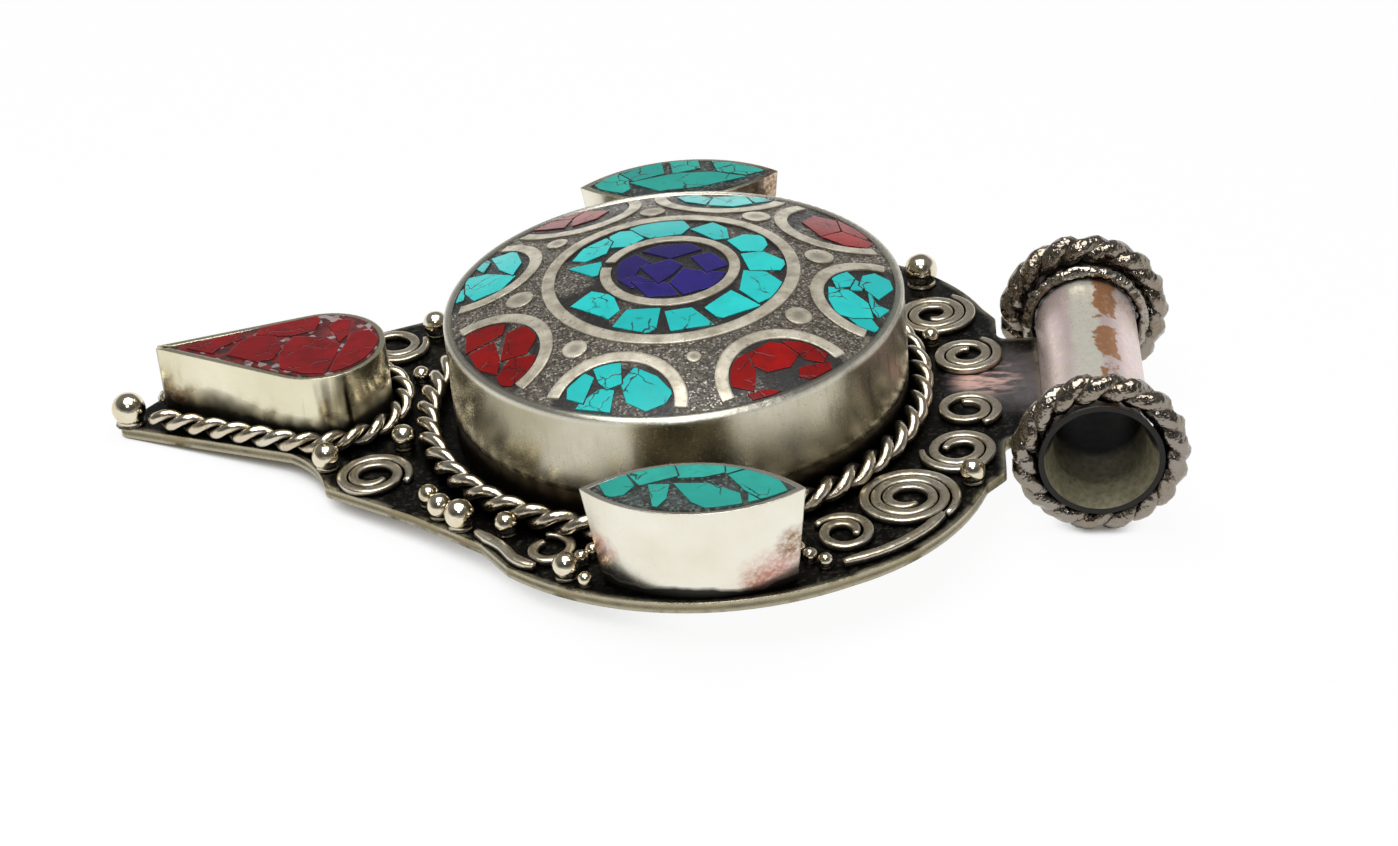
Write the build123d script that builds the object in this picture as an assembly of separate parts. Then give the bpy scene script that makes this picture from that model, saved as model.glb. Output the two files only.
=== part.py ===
from build123d import *
import os
from math import acos, atan2, cos, degrees, hypot, pi, radians, sin, sqrt

# Inlaid amulet box pendant. Sizes are in millimetres. The origin is on the axis of the box
# at the back of the plate, X runs to the hanging tube, Y to the far side, Z out of the front.

# Plate that carries everything
PLATE_T = 0.8
CORNER_R = 0.7            # rounding of the corners of the outline
EDGE_MARGIN = 0.5         # plate left outside what stands at its edge
TAIL_TUCK = 0.45          # the twisted wire of the teardrop overhangs the plate by this
NOSE_R = 0.8              # rounding of the plate's tip under the tail ball

# Box and lid
BOX_R = 16.0              # outside of the lid and of the ring it sits on
SHEET = 0.6               # thickness of the sheet of lid, box wall and tray
LID_GAP = 0.1             # radial clearance of the lid on the box wall
SEAT_H = 2.45             # height of the ring that the lid sits on
RIM_H = 8.55              # rim of the lid above the plate
WALL_TOP_GAP = 0.65       # clearance of the box wall under the tray of the lid
INLAY_T = 1.7             # depth of the inlay at the rim
DOME_H = 2.5              # rise of the inlay from rim to middle
RIM_ROUND = 0.25          # rounding on the outer edge of the rim

# Inlay of the lid
GROUND_DROP = 0.08        # the ground lies this much under the stones
WIRE_PROUD = 0.05         # the wires stand this much over the stones
CHIP_T = 1.0              # thickness of a stone chip at its edge
CHIP_GAP = 0.12           # least ground between a chip and a wire
CHIP_GROW = 0.14          # the drawn outlines of the chips are widened by this
CHIP_JOINT = 0.1          # least ground between two chips
INNER_RING_R = 4.85
INNER_RING_W = 0.75
INNER_RING_CUT = 165      # where the inner ring is left open, degrees
INNER_RING_OPEN = 0.8     # how wide it is left open
OUTER_RING_W = 0.9
OUTER_RING_GAP = 0.85     # ground between the outer ring and the petals
PETAL_EDGE = 0.7          # a petal centre lies this far inside the lid wall
PETAL_GAP = 0.74          # least ground between two petals
PETAL_W = 0.9
PETAL_SPAN = 83           # half the arc of a petal wire, degrees
DOT_OUT = 1.55            # dots sit this far outside the outer ring
DOT_R = 1.0               # largest of the dots

# Side cups
CUP_H = 7.1
CUP_L = 14.7              # length over the tips at the rim
CUP_W = 6.2
CUP_TAPER = 0.95          # the foot is smaller by this all round
CUP_SHEET = 0.4
CUP_DOME = 0.2            # rise of the inlay over the rim of a cup
NEAR_CUP_X = 1.95
NEAR_CUP_GAP = 2.16       # clear space between the twisted wire and the near cup
NEAR_CUP_TURN = -5.0
FAR_CUP_X = -0.45
FAR_CUP_GAP = 0.51
FAR_CUP_TURN = 3.5

# Teardrop cup and the tail
TEAR_H = 5.5
TEAR_R = 4.6              # radius of its round end
TEAR_L = 12.35            # from the middle of the round end to the tip
TEAR_Y = 1.5              # the teardrop sits this far off the centre line
TEAR_TURN = 5.1           # it points this many degrees off the centre line
TEAR_GAP = 1.41           # clear space between its wire and the wire of the box
TEAR_SLIT = 0.35          # the wall is left open this far at the tip
TEAR_DOME_R = 160.0       # radius to which the coral is ground
TAIL_REACH = 2.1          # the tail ball sits this far past the tip
TAIL_START = 1.0          # the plate narrows from here on, past the middle of the round end

# Twisted wires: half the width over both strands, and the lobes each shows
ROPE_R = 0.82
ROPE_LOBES = 66
TEAR_ROPE_R = 0.8
TEAR_ROPE_LOBES = 23
COLLAR_ROPE_R = 1.08
COLLAR_LOBES = 17
LOBE_STEPS = 4            # sections drawn for each lobe
STRAND_AT = 0.6           # thickest place of a strand, as a share of the half width
STRAND_T = 0.45           # half its thickness there, as such a share
WAIST_T = 0.2             # half the thickness between the strands, as such a share
TIP_GAP = 0.3             # clear space between the ends of the teardrop's wire and the tail ball
SEAT_GAP = 0.02           # soldered pieces are set this far apart

# Scroll wires and balls
SCROLL_W = 0.58
SCROLL_H = 0.5
SCROLL_PITCH = 0.8        # from one turn of a scroll to the next
SCROLL_EYE = 0.95         # a scroll is wound no tighter than this radius
EDGE_WIRE_H = 0.6
BALL_R = 0.95
TAIL_BALL_R = 1.05
GRAIN_R = 0.45
BALL_SINK = 0.06          # a soldered ball is flattened by this much

# Hanging tube
TUBE_RISE = 0.31          # its axis lies this far above the front of the plate
TUBE_R = 3.58
TUBE_SHEET = 0.4
TUBE_STRAIGHT = 17.2      # length of the straight middle
TUBE_L = 21.4
MOUTH_FLARE = 0.69        # the mouths open this much in radius
TUBE_WIRE_R = 0.5         # plain wire inside each collar
COLLAR_GAP = 0.25         # clear space between the plate and the collars
TONGUE_GAP = 0.8          # clear space between the plate's tongue and the plain wires

# Angles of the petals round from the left one, and the sizes of the dots that follow them
PETAL_TURNS = (164, 211, 257, 304, 351, 396, 438, 481)
DOT_SIZES = (0.95, 0.85, 0.5, 0.9, 1.0, 1.0, 0.9, 0.75)

# What the outlines further down were drawn for
DRAWN_ROPE_OUT = 17.66    # outside of the twisted wire round the box
DRAWN_INNER_RING = 4.85
DRAWN_OUTER_RING = 8.95
DRAWN_PETAL_AT = 14.7     # distance of the petal centres from the axis
DRAWN_CUP = (14.7, 6.2)   # length and width of a side cup
DRAWN_TEAR = (12.35, 4.6) # length and end radius of the teardrop

# Heights, radii and places that follow from the sizes
TOP = PLATE_T
SEAT_Z = TOP + SEAT_H
RIM_Z = TOP + RIM_H
TRAY_Z = RIM_Z - INLAY_T
WALL_Z = TRAY_Z - SHEET - WALL_TOP_GAP
LID_IN = BOX_R - SHEET
WALL_R = LID_IN - LID_GAP
DOME_R = (LID_IN ** 2 + DOME_H ** 2) / (2 * DOME_H)
DOME_Z = RIM_Z + DOME_H - DOME_R
PETAL_PITCH = min(b - a for a, b in zip(PETAL_TURNS, PETAL_TURNS[1:]))
PETAL_AT = LID_IN - PETAL_EDGE
PETAL_R = PETAL_AT * sin(radians(PETAL_PITCH / 2)) - PETAL_GAP / 2
OUTER_RING_R = PETAL_AT - PETAL_R - OUTER_RING_GAP
ROPE_OUT = BOX_R + 2 * ROPE_R + SEAT_GAP
SPREAD = ROPE_OUT / DRAWN_ROPE_OUT    # what lies round the box moves out with its twisted wire
FOOT_L = CUP_L - 2 * CUP_TAPER
FOOT_W = CUP_W - 2 * CUP_TAPER
ROPE_SIDE = FOOT_W / 2 + CUP_TAPER * 2 * ROPE_R / CUP_H
NEAR_CUP_Y = -(ROPE_OUT + NEAR_CUP_GAP + ROPE_SIDE)
FAR_CUP_Y = ROPE_OUT + FAR_CUP_GAP + ROPE_SIDE
TEAR_X = -(ROPE_OUT + TEAR_GAP + 2 * TEAR_ROPE_R + SEAT_GAP + TEAR_R)
TEAR_TIP = (-TEAR_L * cos(radians(TEAR_TURN)), TEAR_L * sin(radians(TEAR_TURN)))
TAIL_X = TEAR_X + TEAR_TIP[0] - TAIL_REACH
TAIL_Y = TEAR_Y + TEAR_TIP[1] - TAIL_REACH / 2
BIG = 200.0

# Outlines of the stone chips on the lid, in plan, as the broken stones lie
LAPIS = (
    ((-1.8, 2.7), (0.0, 1.5), (1.9, 2.6), (1.3, 3.4), (-0.9, 3.4)),
    ((1.6, 1.4), (2.7, 2.0), (3.9, 0.3), (2.6, -0.6)),
    ((0.2, -2.0), (1.0, -0.3), (2.4, -0.8), (3.8, -0.9), (3.1, -2.5), (1.1, -3.4)),
    ((-1.9, 0.3), (0.0, 1.1), (0.7, 0.3), (0.1, -0.9), (-0.7, -1.8)),
    ((-3.6, 0.2), (-3.3, 1.5), (-2.5, 2.2), (-1.5, 0.9), (-2.2, 0.2), (-2.5, -0.7), (-3.4, -0.9)),
    ((-2.3, -1.8), (-0.9, -2.0), (0.0, -2.2), (0.5, -3.5), (-1.3, -3.5)),
    ((-3.3, -1.2), (-2.3, -0.8), (-1.2, -1.7), (-2.5, -2.2)),
)
RING = (
    ((-6.8, 2.8), (-6.2, 4.4), (-4.8, 5.6), (-4.4, 4.9), (-4.7, 3.2), (-6.0, 2.4)),
    ((-4.4, 6.0), (-4.2, 4.1), (-3.0, 3.9), (-2.2, 5.0), (-3.1, 6.5), (-3.8, 6.6)),
    ((-3.0, 7.0), (-2.0, 7.7), (0.5, 7.8), (1.0, 6.5), (0.5, 5.4), (-1.5, 5.0), (-2.3, 5.8)),
    ((1.4, 6.1), (2.7, 7.2), (3.6, 6.2), (3.8, 4.5), (3.0, 4.3)),
    ((4.0, 4.0), (5.0, 5.0), (6.2, 5.0), (6.5, 3.6), (6.2, 2.6), (4.9, 2.5)),
    ((5.0, 1.8), (6.3, 2.3), (7.9, 1.1), (7.5, 0.0), (5.6, -0.3)),
    ((5.2, -0.6), (6.6, -0.7), (7.6, -1.8), (7.0, -3.6), (6.2, -4.3), (5.0, -3.0)),
    ((4.3, -3.3), (6.1, -4.8), (3.6, -6.3), (2.7, -5.2)),
    ((0.0, -5.6), (1.6, -5.3), (3.0, -7.0), (0.4, -7.5)),
    ((-2.7, -5.1), (-0.6, -5.2), (-0.8, -7.2), (-1.3, -7.6), (-3.5, -6.6)),
    ((-5.3, -2.3), (-3.9, -3.1), (-3.4, -4.9), (-4.0, -5.6), (-6.5, -3.6)),
    ((-6.9, 1.5), (-5.0, 1.7), (-4.8, 0.2), (-5.3, 0.0)),
)
PETALS = (
    (((-14.5, 6.7), (-13.9, 7.4), (-13.3, 6.2), (-13.6, 5.0)),
     ((-13.0, 6.8), (-11.5, 7.0), (-10.9, 4.5), (-11.3, 3.0), (-12.2, 4.3)),
     ((-14.7, 4.4), (-13.4, 4.1), (-11.2, 2.4), (-12.0, 1.0), (-13.8, 0.6), (-14.5, 2.0)),
     ((-15.2, 2.4), (-14.8, 2.7), (-14.8, 1.2), (-15.2, 1.2))),
    (((-13.9, -3.7), (-12.5, -3.5), (-11.4, -4.1), (-11.5, -5.0), (-12.4, -5.5), (-13.8, -5.9)),
     ((-11.0, -5.3), (-10.1, -4.9), (-9.2, -5.3), (-9.1, -6.5), (-9.6, -7.8), (-11.2, -7.9)),
     ((-13.5, -6.4), (-12.0, -5.9), (-11.5, -7.9), (-11.6, -9.1), (-12.8, -8.2)),
     ((-11.4, -9.6), (-10.6, -8.2), (-8.9, -8.4), (-9.0, -9.7), (-10.2, -10.8), (-11.0, -10.4))),
    (((-6.4, -12.2), (-5.4, -11.2), (-4.9, -11.6), (-5.5, -13.5), (-6.4, -13.0)),
     ((-4.7, -10.7), (-3.1, -10.5), (-3.0, -12.3), (-3.8, -12.6), (-4.3, -12.0)),
     ((-4.3, -12.8), (-3.5, -13.0), (-3.7, -14.6), (-5.7, -14.0), (-5.5, -13.7)),
     ((-2.8, -12.3), (-2.0, -11.2), (-0.6, -12.1), (0.4, -13.5), (0.0, -14.3), (-1.2, -14.8),
      (-2.4, -14.0))),
    (((5.7, -9.9), (7.0, -8.8), (7.8, -8.9), (8.7, -9.7), (8.2, -10.8), (6.8, -11.4), (6.0, -11.0)),
     ((8.0, -8.6), (9.2, -8.5), (10.6, -9.3), (10.4, -10.0), (9.3, -9.9), (8.8, -9.4)),
     ((4.3, -11.2), (5.4, -10.1), (5.9, -11.5), (5.8, -13.2), (4.5, -12.9)),
     ((9.0, -11.0), (10.8, -10.1), (10.9, -10.8), (9.8, -11.7), (9.0, -11.6)),
     ((5.7, -13.7), (6.6, -13.3), (7.2, -13.3), (6.0, -14.1))),
    (((11.2, -0.4), (12.0, 0.7), (12.5, 0.0), (12.2, -1.1), (11.5, -1.5)),
     ((13.1, -0.8), (13.3, 0.5), (14.0, 1.1), (14.9, 0.6), (15.1, -0.4), (14.2, -2.0)),
     ((12.6, -0.2), (13.0, -0.7), (13.0, -1.4), (12.5, -1.5)),
     ((11.0, -1.8), (12.2, -1.8), (13.4, -3.0), (13.7, -4.5), (12.5, -4.9), (11.5, -4.7), (11.0, -3.2)),
     ((13.7, -2.1), (14.0, -3.0), (14.8, -3.3), (14.2, -4.2), (13.8, -3.6)),
     ((12.4, -5.1), (13.6, -4.8), (14.1, -5.7), (13.6, -6.3), (13.1, -5.9))),
    (((9.1, 8.4), (9.8, 10.0), (11.2, 9.6), (11.5, 7.6), (10.3, 6.2)),
     ((10.5, 6.0), (11.8, 7.3), (13.8, 6.2), (13.4, 5.3), (12.0, 5.1)),
     ((11.5, 9.6), (13.3, 7.7), (13.4, 6.7), (11.9, 7.7))),
    (((0.0, 14.2), (0.6, 12.8), (1.9, 11.9), (2.2, 13.5), (1.2, 14.8)),
     ((2.4, 13.7), (2.4, 11.6), (4.0, 11.3), (5.2, 12.2), (4.6, 14.3)),
     ((4.9, 14.0), (5.6, 12.6), (6.5, 13.3), (5.8, 14.0))),
    (((-10.4, 11.2), (-9.4, 10.5), (-8.2, 10.0), (-7.8, 11.6), (-9.4, 12.2)),
     ((-7.5, 11.6), (-7.4, 10.0), (-5.9, 10.7), (-5.2, 12.2), (-6.8, 13.2)),
     ((-9.2, 12.5), (-7.8, 12.0), (-7.1, 13.3))),
)
# Outlines of the chips in the cups, from the middle of each cup
NEAR_CHIPS = (
    ((-6.3, 1.1), (-4.8, 1.8), (-3.9, 0.1), (-4.4, -0.8), (-5.3, -1.0)),
    ((-4.5, 2.0), (-2.8, 2.9), (-1.7, 2.8), (-1.2, 1.3), (-3.4, 0.3)),
    ((-1.5, 3.0), (1.6, 3.1), (1.8, 1.7), (0.6, 1.2), (-0.9, 1.1)),
    ((2.0, 2.7), (3.3, 2.4), (2.2, 1.7)),
    ((2.4, 1.3), (3.7, 2.1), (5.3, 1.1), (6.2, -0.6), (4.7, -1.3), (3.6, -0.4)),
    ((-1.0, 0.2), (1.0, 0.2), (3.1, -0.9), (3.4, -2.2), (1.5, -2.6), (0.3, -1.8)),
    ((-2.7, 0.1), (-1.6, 0.1), (-1.6, -1.4), (-2.1, -2.4)),
    ((3.9, -0.9), (5.1, -1.4), (4.0, -1.9)),
)
FAR_CHIPS = (
    ((-6.1, 0.1), (-4.7, 1.5), (-3.9, 0.4), (-3.8, -1.1), (-4.5, -1.7), (-5.5, -1.1)),
    ((-4.4, 1.8), (-2.0, 2.8), (-1.4, 2.8), (-1.2, 0.9), (-3.3, 0.2)),
    ((-0.5, 2.9), (1.3, 2.9), (1.5, 1.3), (-0.3, 0.8)),
    ((2.6, 2.5), (4.9, 1.5), (6.3, 0.3), (5.0, -0.2), (3.0, 0.6)),
    ((-3.4, -0.2), (-0.1, 0.5), (2.6, 0.3), (4.6, -0.6), (1.5, -1.6), (-1.5, -1.7)),
)
TEAR_CHIPS = (
    ((-9.5, 0.9), (-8.6, 2.0), (-6.2, 2.8), (-5.9, 1.5), (-7.2, 0.7), (-7.7, -0.1)),
    ((-6.4, -0.6), (-5.7, 1.0), (-5.0, 1.6), (-3.5, 1.4), (-2.8, -0.3), (-3.2, -1.6), (-4.2, -1.8)),
    ((-4.7, 1.8), (-4.4, 3.2), (-2.7, 4.0), (-0.9, 4.1), (-0.5, 3.4), (-0.7, 2.1), (-2.2, 1.5)),
    ((-2.6, -1.7), (-2.6, -0.3), (-1.9, 1.1), (0.3, 0.7), (1.3, -0.3), (1.2, -1.7), (0.8, -3.9),
     (-0.7, -3.8), (-2.3, -3.0)),
    ((0.5, 2.5), (1.0, 3.2), (1.7, 3.1), (1.7, 1.0), (1.4, 0.4)),
    ((1.8, -1.1), (2.3, 1.4), (3.3, 1.5), (4.1, 0.3), (4.0, -1.6), (2.9, -3.2), (1.3, -3.8), (1.5, -2.0)),
)

# Scroll wires: middle, outer radius, angle of the outer end, hand
SCROLLS = {
    "scroll_left_near": (-21.0, -7.9, 2.65, -20, 1),
    "scroll_left_far": (-21.3, 10.0, 2.4, 20, -1),
    "scroll_loop_left_near": (-8.3, -17.9, 1.8, 100, -1),
    "scroll_loop_left_far": (-11.2, 16.6, 1.8, -100, 1),
    "scroll_loop_right_near": (11.1, -17.8, 2.15, 150, -1),
    "scroll_loop_right_far": (9.6, 17.7, 2.1, -150, 1),
    "scroll_large_near": (15.7, -14.2, 3.45, -40, 1),
    "scroll_large_far": (18.0, 10.4, 2.85, 60, -1),
    "scroll_right_near": (19.0, -8.4, 2.65, 180, 1),
    "scroll_right_mid_near": (20.0, -3.3, 2.25, -60, 1),
    "scroll_right_mid_far": (20.1, 4.4, 2.45, 60, -1),
}

# Balls soldered to the plate: where, and how large against the usual ball
BALLS = ((-24.6, -5.9, 0.9), (-16.9, -11.3, 0.7), (-16.0, -12.9, 0.8), (-14.5, -14.3, 0.95),
         (-11.3, -15.4, 0.75), (-6.9, -21.0, 0.85), (-19.4, -3.7, 0.8), (-19.0, 5.0, 0.6),
         (-18.6, 11.9, 0.85), (-15.5, 13.4, 0.8), (20.0, -11.9, 0.8), (17.1, 15.4, 1.1),
         (17.6, 6.6, 0.6))
GRAINS = ((-5.6, -22.1), (-6.0, -19.5), (-5.3, -18.7), (8.3, -19.7), (9.1, -20.6), (10.1, -21.3))

# Edge wires that close the outline beside the scrolls: width, and points to pass through
EDGE_WIRES = {
    "edge_wire_mid_near": (0.75, ((-13.3, -15.7), (-11.6, -17.4), (-10.4, -19.2), (-9.1, -20.1))),
    "edge_wire_right_near": (0.7, ((17.9, -16.4), (16.4, -18.3), (14.2, -20.1), (11.3, -21.5))),
}

# Edge of the plate between tail, cups and tube, on each side
NEAR_WAIST = (-25.5, -5.9)
NEAR_LOBE = (-24.5, -8.5)
NEAR_SHOULDER = (-18.2, -12.5)
NEAR_HOLLOW = (-13.0, -16.6)
NEAR_CUP_START = (-11.0, -19.5)
NEAR_CUP_END = (11.8, -22.6)
NEAR_TURN = (16.8, -19.2)
NEAR_END = (20.9, -12.4)
FAR_WAIST = (-25.0, 9.9)
FAR_LOBE = (-24.0, 12.0)
FAR_SHOULDER = (-18.5, 14.2)
FAR_HOLLOW = (-14.0, 16.4)
FAR_CUP_START = (-11.2, 19.2)
FAR_CUP_END = (10.0, 20.4)
FAR_TURN = (17.3, 17.0)
FAR_END = (21.4, 11.2)
PLATE_END = 22.3          # straight edge beside the collars
END_CORNER = 1.6          # the straight edge starts this far along from the ends


def spread(point):
    """A place on the plate, moved out with the box."""
    return (point[0] * SPREAD, point[1] * SPREAD)


def scaled(outlines, along, across):
    """Outlines drawn for one size, brought to another."""
    return [[(x * along, y * across) for x, y in outline] for outline in outlines]


def polar(r, angle):
    """A point at a distance and an angle in degrees."""
    return (r * cos(radians(angle)), r * sin(radians(angle)))


def disc(radius, z0, z1):
    """A round bar on the box axis between two heights."""
    return Pos(0, 0, z0) * Cylinder(radius, z1 - z0, align=(Align.CENTER, Align.CENTER, Align.MIN))


def tube(r_out, r_in, z0, z1):
    """A straight tube on the box axis between two heights."""
    return disc(r_out, z0, z1) - disc(r_in, z0 - 1, z1 + 1)


def solid_of(sketch, z0, z1):
    """A flat outline raised between two heights."""
    return extrude(Pos(0, 0, z0) * sketch, amount=z1 - z0)


def joined(pieces):
    """Loose solids kept together as one piece without fusing them."""
    solids = []
    for piece in pieces:
        solids.extend(piece.solids())
    return Compound(solids)


def dome(lift):
    """A ball whose top is the dome of the lid, raised by lift."""
    return Pos(0, 0, DOME_Z) * Sphere(DOME_R + lift)


def dome_z(r):
    """Height of the dome at a distance from the axis."""
    return DOME_Z + sqrt(DOME_R ** 2 - r ** 2)


def skin(rings, closed):
    """A solid whose skin joins each ring of points to the next with flat triangles."""
    faces = []
    count = len(rings)
    sides = len(rings[0])
    for i in range(count if closed else count - 1):
        here = rings[i]
        there = rings[(i + 1) % count]
        for j in range(sides):
            k = (j + 1) % sides
            faces.append(Face(Wire.make_polygon([here[j], here[k], there[k]])))
            faces.append(Face(Wire.make_polygon([here[j], there[k], there[j]])))
    if not closed:
        for ring in (rings[0], rings[-1]):
            faces.append(Face(Wire.make_polygon(ring)))
    return Solid(Shell(faces))


def rope_section(radius, turn):
    """Eight corners round the two strands side by side, turned about the wire."""
    half = ((1.0, 0.0), (STRAND_AT, STRAND_T), (0.0, WAIST_T), (-STRAND_AT, STRAND_T))
    corners = half + tuple((-u, -v) for u, v in half)
    c = cos(turn)
    s = sin(turn)
    return [(radius * (u * c - v * s), radius * (u * s + v * c)) for u, v in corners]


def rope_ring(radius, rope_r, lobes):
    """A closed ring of twisted wire about Z, showing the given lobes, at height zero."""
    rings = []
    count = lobes * LOBE_STEPS
    for i in range(count):
        a = 2 * pi * i / count
        section = rope_section(rope_r, pi * i / LOBE_STEPS)
        rings.append([((radius + u) * cos(a), (radius + u) * sin(a), v) for u, v in section])
    return skin(rings, True)


def rope_along(path, rope_r, lobes):
    """A length of twisted wire along a flat path."""
    rings = []
    count = lobes * LOBE_STEPS
    for i in range(count + 1):
        here = path.position_at(i / count)
        along = path.tangent_at(i / count)
        section = rope_section(rope_r, pi * i / LOBE_STEPS)
        rings.append([(here.X - u * along.Y, here.Y + u * along.X, here.Z + v) for u, v in section])
    return skin(rings, False)


def lens(length, width):
    """An outline of two arcs that meet in tips on X."""
    tip = length / 2
    upper = ThreePointArc((-tip, 0), (0, width / 2), (tip, 0))
    lower = ThreePointArc((tip, 0), (0, -width / 2), (-tip, 0))
    return make_face(upper + lower)


def teardrop(grow):
    """Tip, ends and middle of the arc of the teardrop about its round end, grown by an amount."""
    radius = TEAR_R + grow
    reach = TEAR_L * radius / TEAR_R
    toward = 180 - TEAR_TURN
    turn = degrees(acos(TEAR_R / TEAR_L))
    return (polar(reach, toward), polar(radius, toward - turn), polar(radius, toward + 180),
            polar(radius, toward + turn))


def teardrop_face(grow):
    """The teardrop as a face."""
    point, first, back, last = teardrop(grow)
    return make_face(Line(point, first) + ThreePointArc(first, back, last) + Line(last, point))


def chips_of(outlines, keep, z_low, cap):
    """Chips cut from their outlines, clear of each other, kept inside the setting and ground to the cap."""
    pieces = []
    laid = []
    for outline in outlines:
        flat = offset(make_face(Polyline(*outline, close=True)), CHIP_GROW, kind=Kind.INTERSECTION) & keep
        for other in laid:
            flat = flat - other
        flat = flat.faces().sort_by(SortBy.AREA)[-1]
        laid.append(offset(flat, CHIP_JOINT, kind=Kind.INTERSECTION))
        raised = solid_of(flat, z_low(outline), BIG) & cap
        pieces.extend(raised.solids())
    return pieces


def scroll(x, y, radius, start, hand):
    """A flat-topped wire wound inward in half circles, each smaller by half the pitch."""
    half = SCROLL_W / 2
    r = radius - half
    halves = 1 + int((r - SCROLL_EYE) / (SCROLL_PITCH / 2))
    centre = Vector(x, y)
    outer = []
    inner = []
    a = radians(start)
    for _ in range(halves):
        for side, arcs in ((half, outer), (-half, inner)):
            points = [centre + Vector(cos(a + hand * t), sin(a + hand * t)) * (r + side)
                      for t in (0, pi / 2, pi)]
            arcs.append(ThreePointArc(*points))
        a += hand * pi
        centre += Vector(cos(a), sin(a)) * (SCROLL_PITCH / 2)
        r -= SCROLL_PITCH / 2
    ends = [Line(outer[0] @ 0, inner[0] @ 0), Line(outer[-1] @ 1, inner[-1] @ 1)]
    return solid_of(make_face(Curve() + outer + inner + ends), TOP, TOP + SCROLL_H)


def ball(x, y, radius, sink):
    """A ball soldered to the plate, flat where it sits."""
    whole = Pos(x, y, TOP + radius - sink) * Sphere(radius)
    return whole & Pos(x, y, TOP) * Box(BIG, BIG, BIG, align=(Align.CENTER, Align.CENTER, Align.MIN))


# Hanging tube: straight in the middle, flared at the mouths, on an axis along Y
straight = TUBE_STRAIGHT / 2
mouth = TUBE_L / 2
collar_y = mouth - COLLAR_ROPE_R
flare_slope = MOUTH_FLARE / (mouth - straight)


def round_tube(y, wire_r):
    """Radius of a ring of wire that lies on the tube at a place along it."""
    on_straight = TUBE_R + wire_r
    on_flare = TUBE_R + (y - straight) * flare_slope + wire_r * sqrt(1 + flare_slope ** 2)
    return max(on_straight, on_flare) + SEAT_GAP


collar_r = round_tube(collar_y, COLLAR_ROPE_R)
wire_y = collar_y - COLLAR_ROPE_R - TUBE_WIRE_R - SEAT_GAP
plate_end_x = PLATE_END * SPREAD
TUBE_X = plate_end_x + COLLAR_GAP + collar_r + COLLAR_ROPE_R
TUBE_Z = TOP + TUBE_RISE
outside = [(TUBE_R + MOUTH_FLARE, -mouth), (TUBE_R, -straight), (TUBE_R, straight),
           (TUBE_R + MOUTH_FLARE, mouth)]
inside = [(r - TUBE_SHEET, y) for r, y in reversed(outside)]
profile = make_face(Polyline(*outside, *inside, close=True))
bail_tube = Pos(TUBE_X, 0, TUBE_Z) * revolve(profile, axis=Axis.Y)
collar_rope = rope_ring(collar_r, COLLAR_ROPE_R, COLLAR_LOBES)
tube_wire = Torus(round_tube(wire_y, TUBE_WIRE_R), TUBE_WIRE_R)
collars = {}
for name, side in (("near", -1), ("far", 1)):
    collars[f"bail_rope_{name}"] = Location((TUBE_X, side * collar_y, TUBE_Z), (90, 0, 0)) * collar_rope
    collars[f"bail_wire_{name}"] = Location((TUBE_X, side * wire_y, TUBE_Z), (90, 0, 0)) * tube_wire

# Tail: the near rope runs straight from the tail ball until it touches the round end
tail = (TAIL_X - TEAR_X, TAIL_Y - TEAR_Y)
tear_rope_at = TEAR_R + TEAR_ROPE_R + SEAT_GAP
touch_angle = degrees(atan2(tail[1], tail[0]) + acos(tear_rope_at / hypot(*tail)))

# Plate: the near and the far edge run from the tail to the tongue that is soldered to the tube
tongue = wire_y - TUBE_WIRE_R - TONGUE_GAP
tail_side = tear_rope_at + TEAR_ROPE_R - TAIL_TUCK
near_out = Vector(*polar(1, touch_angle))
near_tail = Vector(TEAR_X, TEAR_Y) + near_out * tail_side
near_nose = Vector(TAIL_X, TAIL_Y) + near_out * NOSE_R
far_tail = (TEAR_X - TAIL_START, TEAR_Y + tail_side)
near_mid = (NEAR_CUP_X, NEAR_CUP_Y - FOOT_W / 2 - EDGE_MARGIN)
far_mid = (FAR_CUP_X, FAR_CUP_Y + FOOT_W / 2 + EDGE_MARGIN)
near = {name: spread(point) for name, point in (
    ("waist", NEAR_WAIST), ("lobe", NEAR_LOBE), ("shoulder", NEAR_SHOULDER), ("hollow", NEAR_HOLLOW),
    ("start", NEAR_CUP_START), ("stop", NEAR_CUP_END), ("turn", NEAR_TURN), ("end", NEAR_END))}
far = {name: spread(point) for name, point in (
    ("waist", FAR_WAIST), ("lobe", FAR_LOBE), ("shoulder", FAR_SHOULDER), ("hollow", FAR_HOLLOW),
    ("start", FAR_CUP_START), ("stop", FAR_CUP_END), ("turn", FAR_TURN), ("end", FAR_END))}
far_nose = (TAIL_X, TAIL_Y + NOSE_R)
far_tip = (TEAR_X + TEAR_TIP[0] - EDGE_MARGIN,
           TEAR_Y + TEAR_TIP[1] + 2 * TEAR_ROPE_R + SEAT_GAP + EDGE_MARGIN / 2)
edge = Curve() + [
    ThreePointArc(far_nose, (TAIL_X - NOSE_R, TAIL_Y), near_nose),
    Line(near_nose, near_tail),
    ThreePointArc(near_tail, near["waist"], near["lobe"]),
    Polyline(near["lobe"], near["shoulder"], near["hollow"], near["start"]),
    ThreePointArc(near["start"], near_mid, near["stop"]),
    ThreePointArc(near["stop"], near["turn"], near["end"]),
    Polyline(near["end"], (plate_end_x, near["end"][1] + END_CORNER), (plate_end_x, -tongue),
             (TUBE_X, -tongue), (TUBE_X, tongue), (plate_end_x, tongue),
             (plate_end_x, far["end"][1] - END_CORNER), far["end"]),
    ThreePointArc(far["end"], far["turn"], far["stop"]),
    ThreePointArc(far["stop"], far_mid, far["start"]),
    Polyline(far["start"], far["hollow"], far["shoulder"], far["lobe"]),
    ThreePointArc(far["lobe"], far["waist"], far_tail),
    Polyline(far_tail, far_tip, far_nose),
]
outline = make_face(edge)
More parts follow.
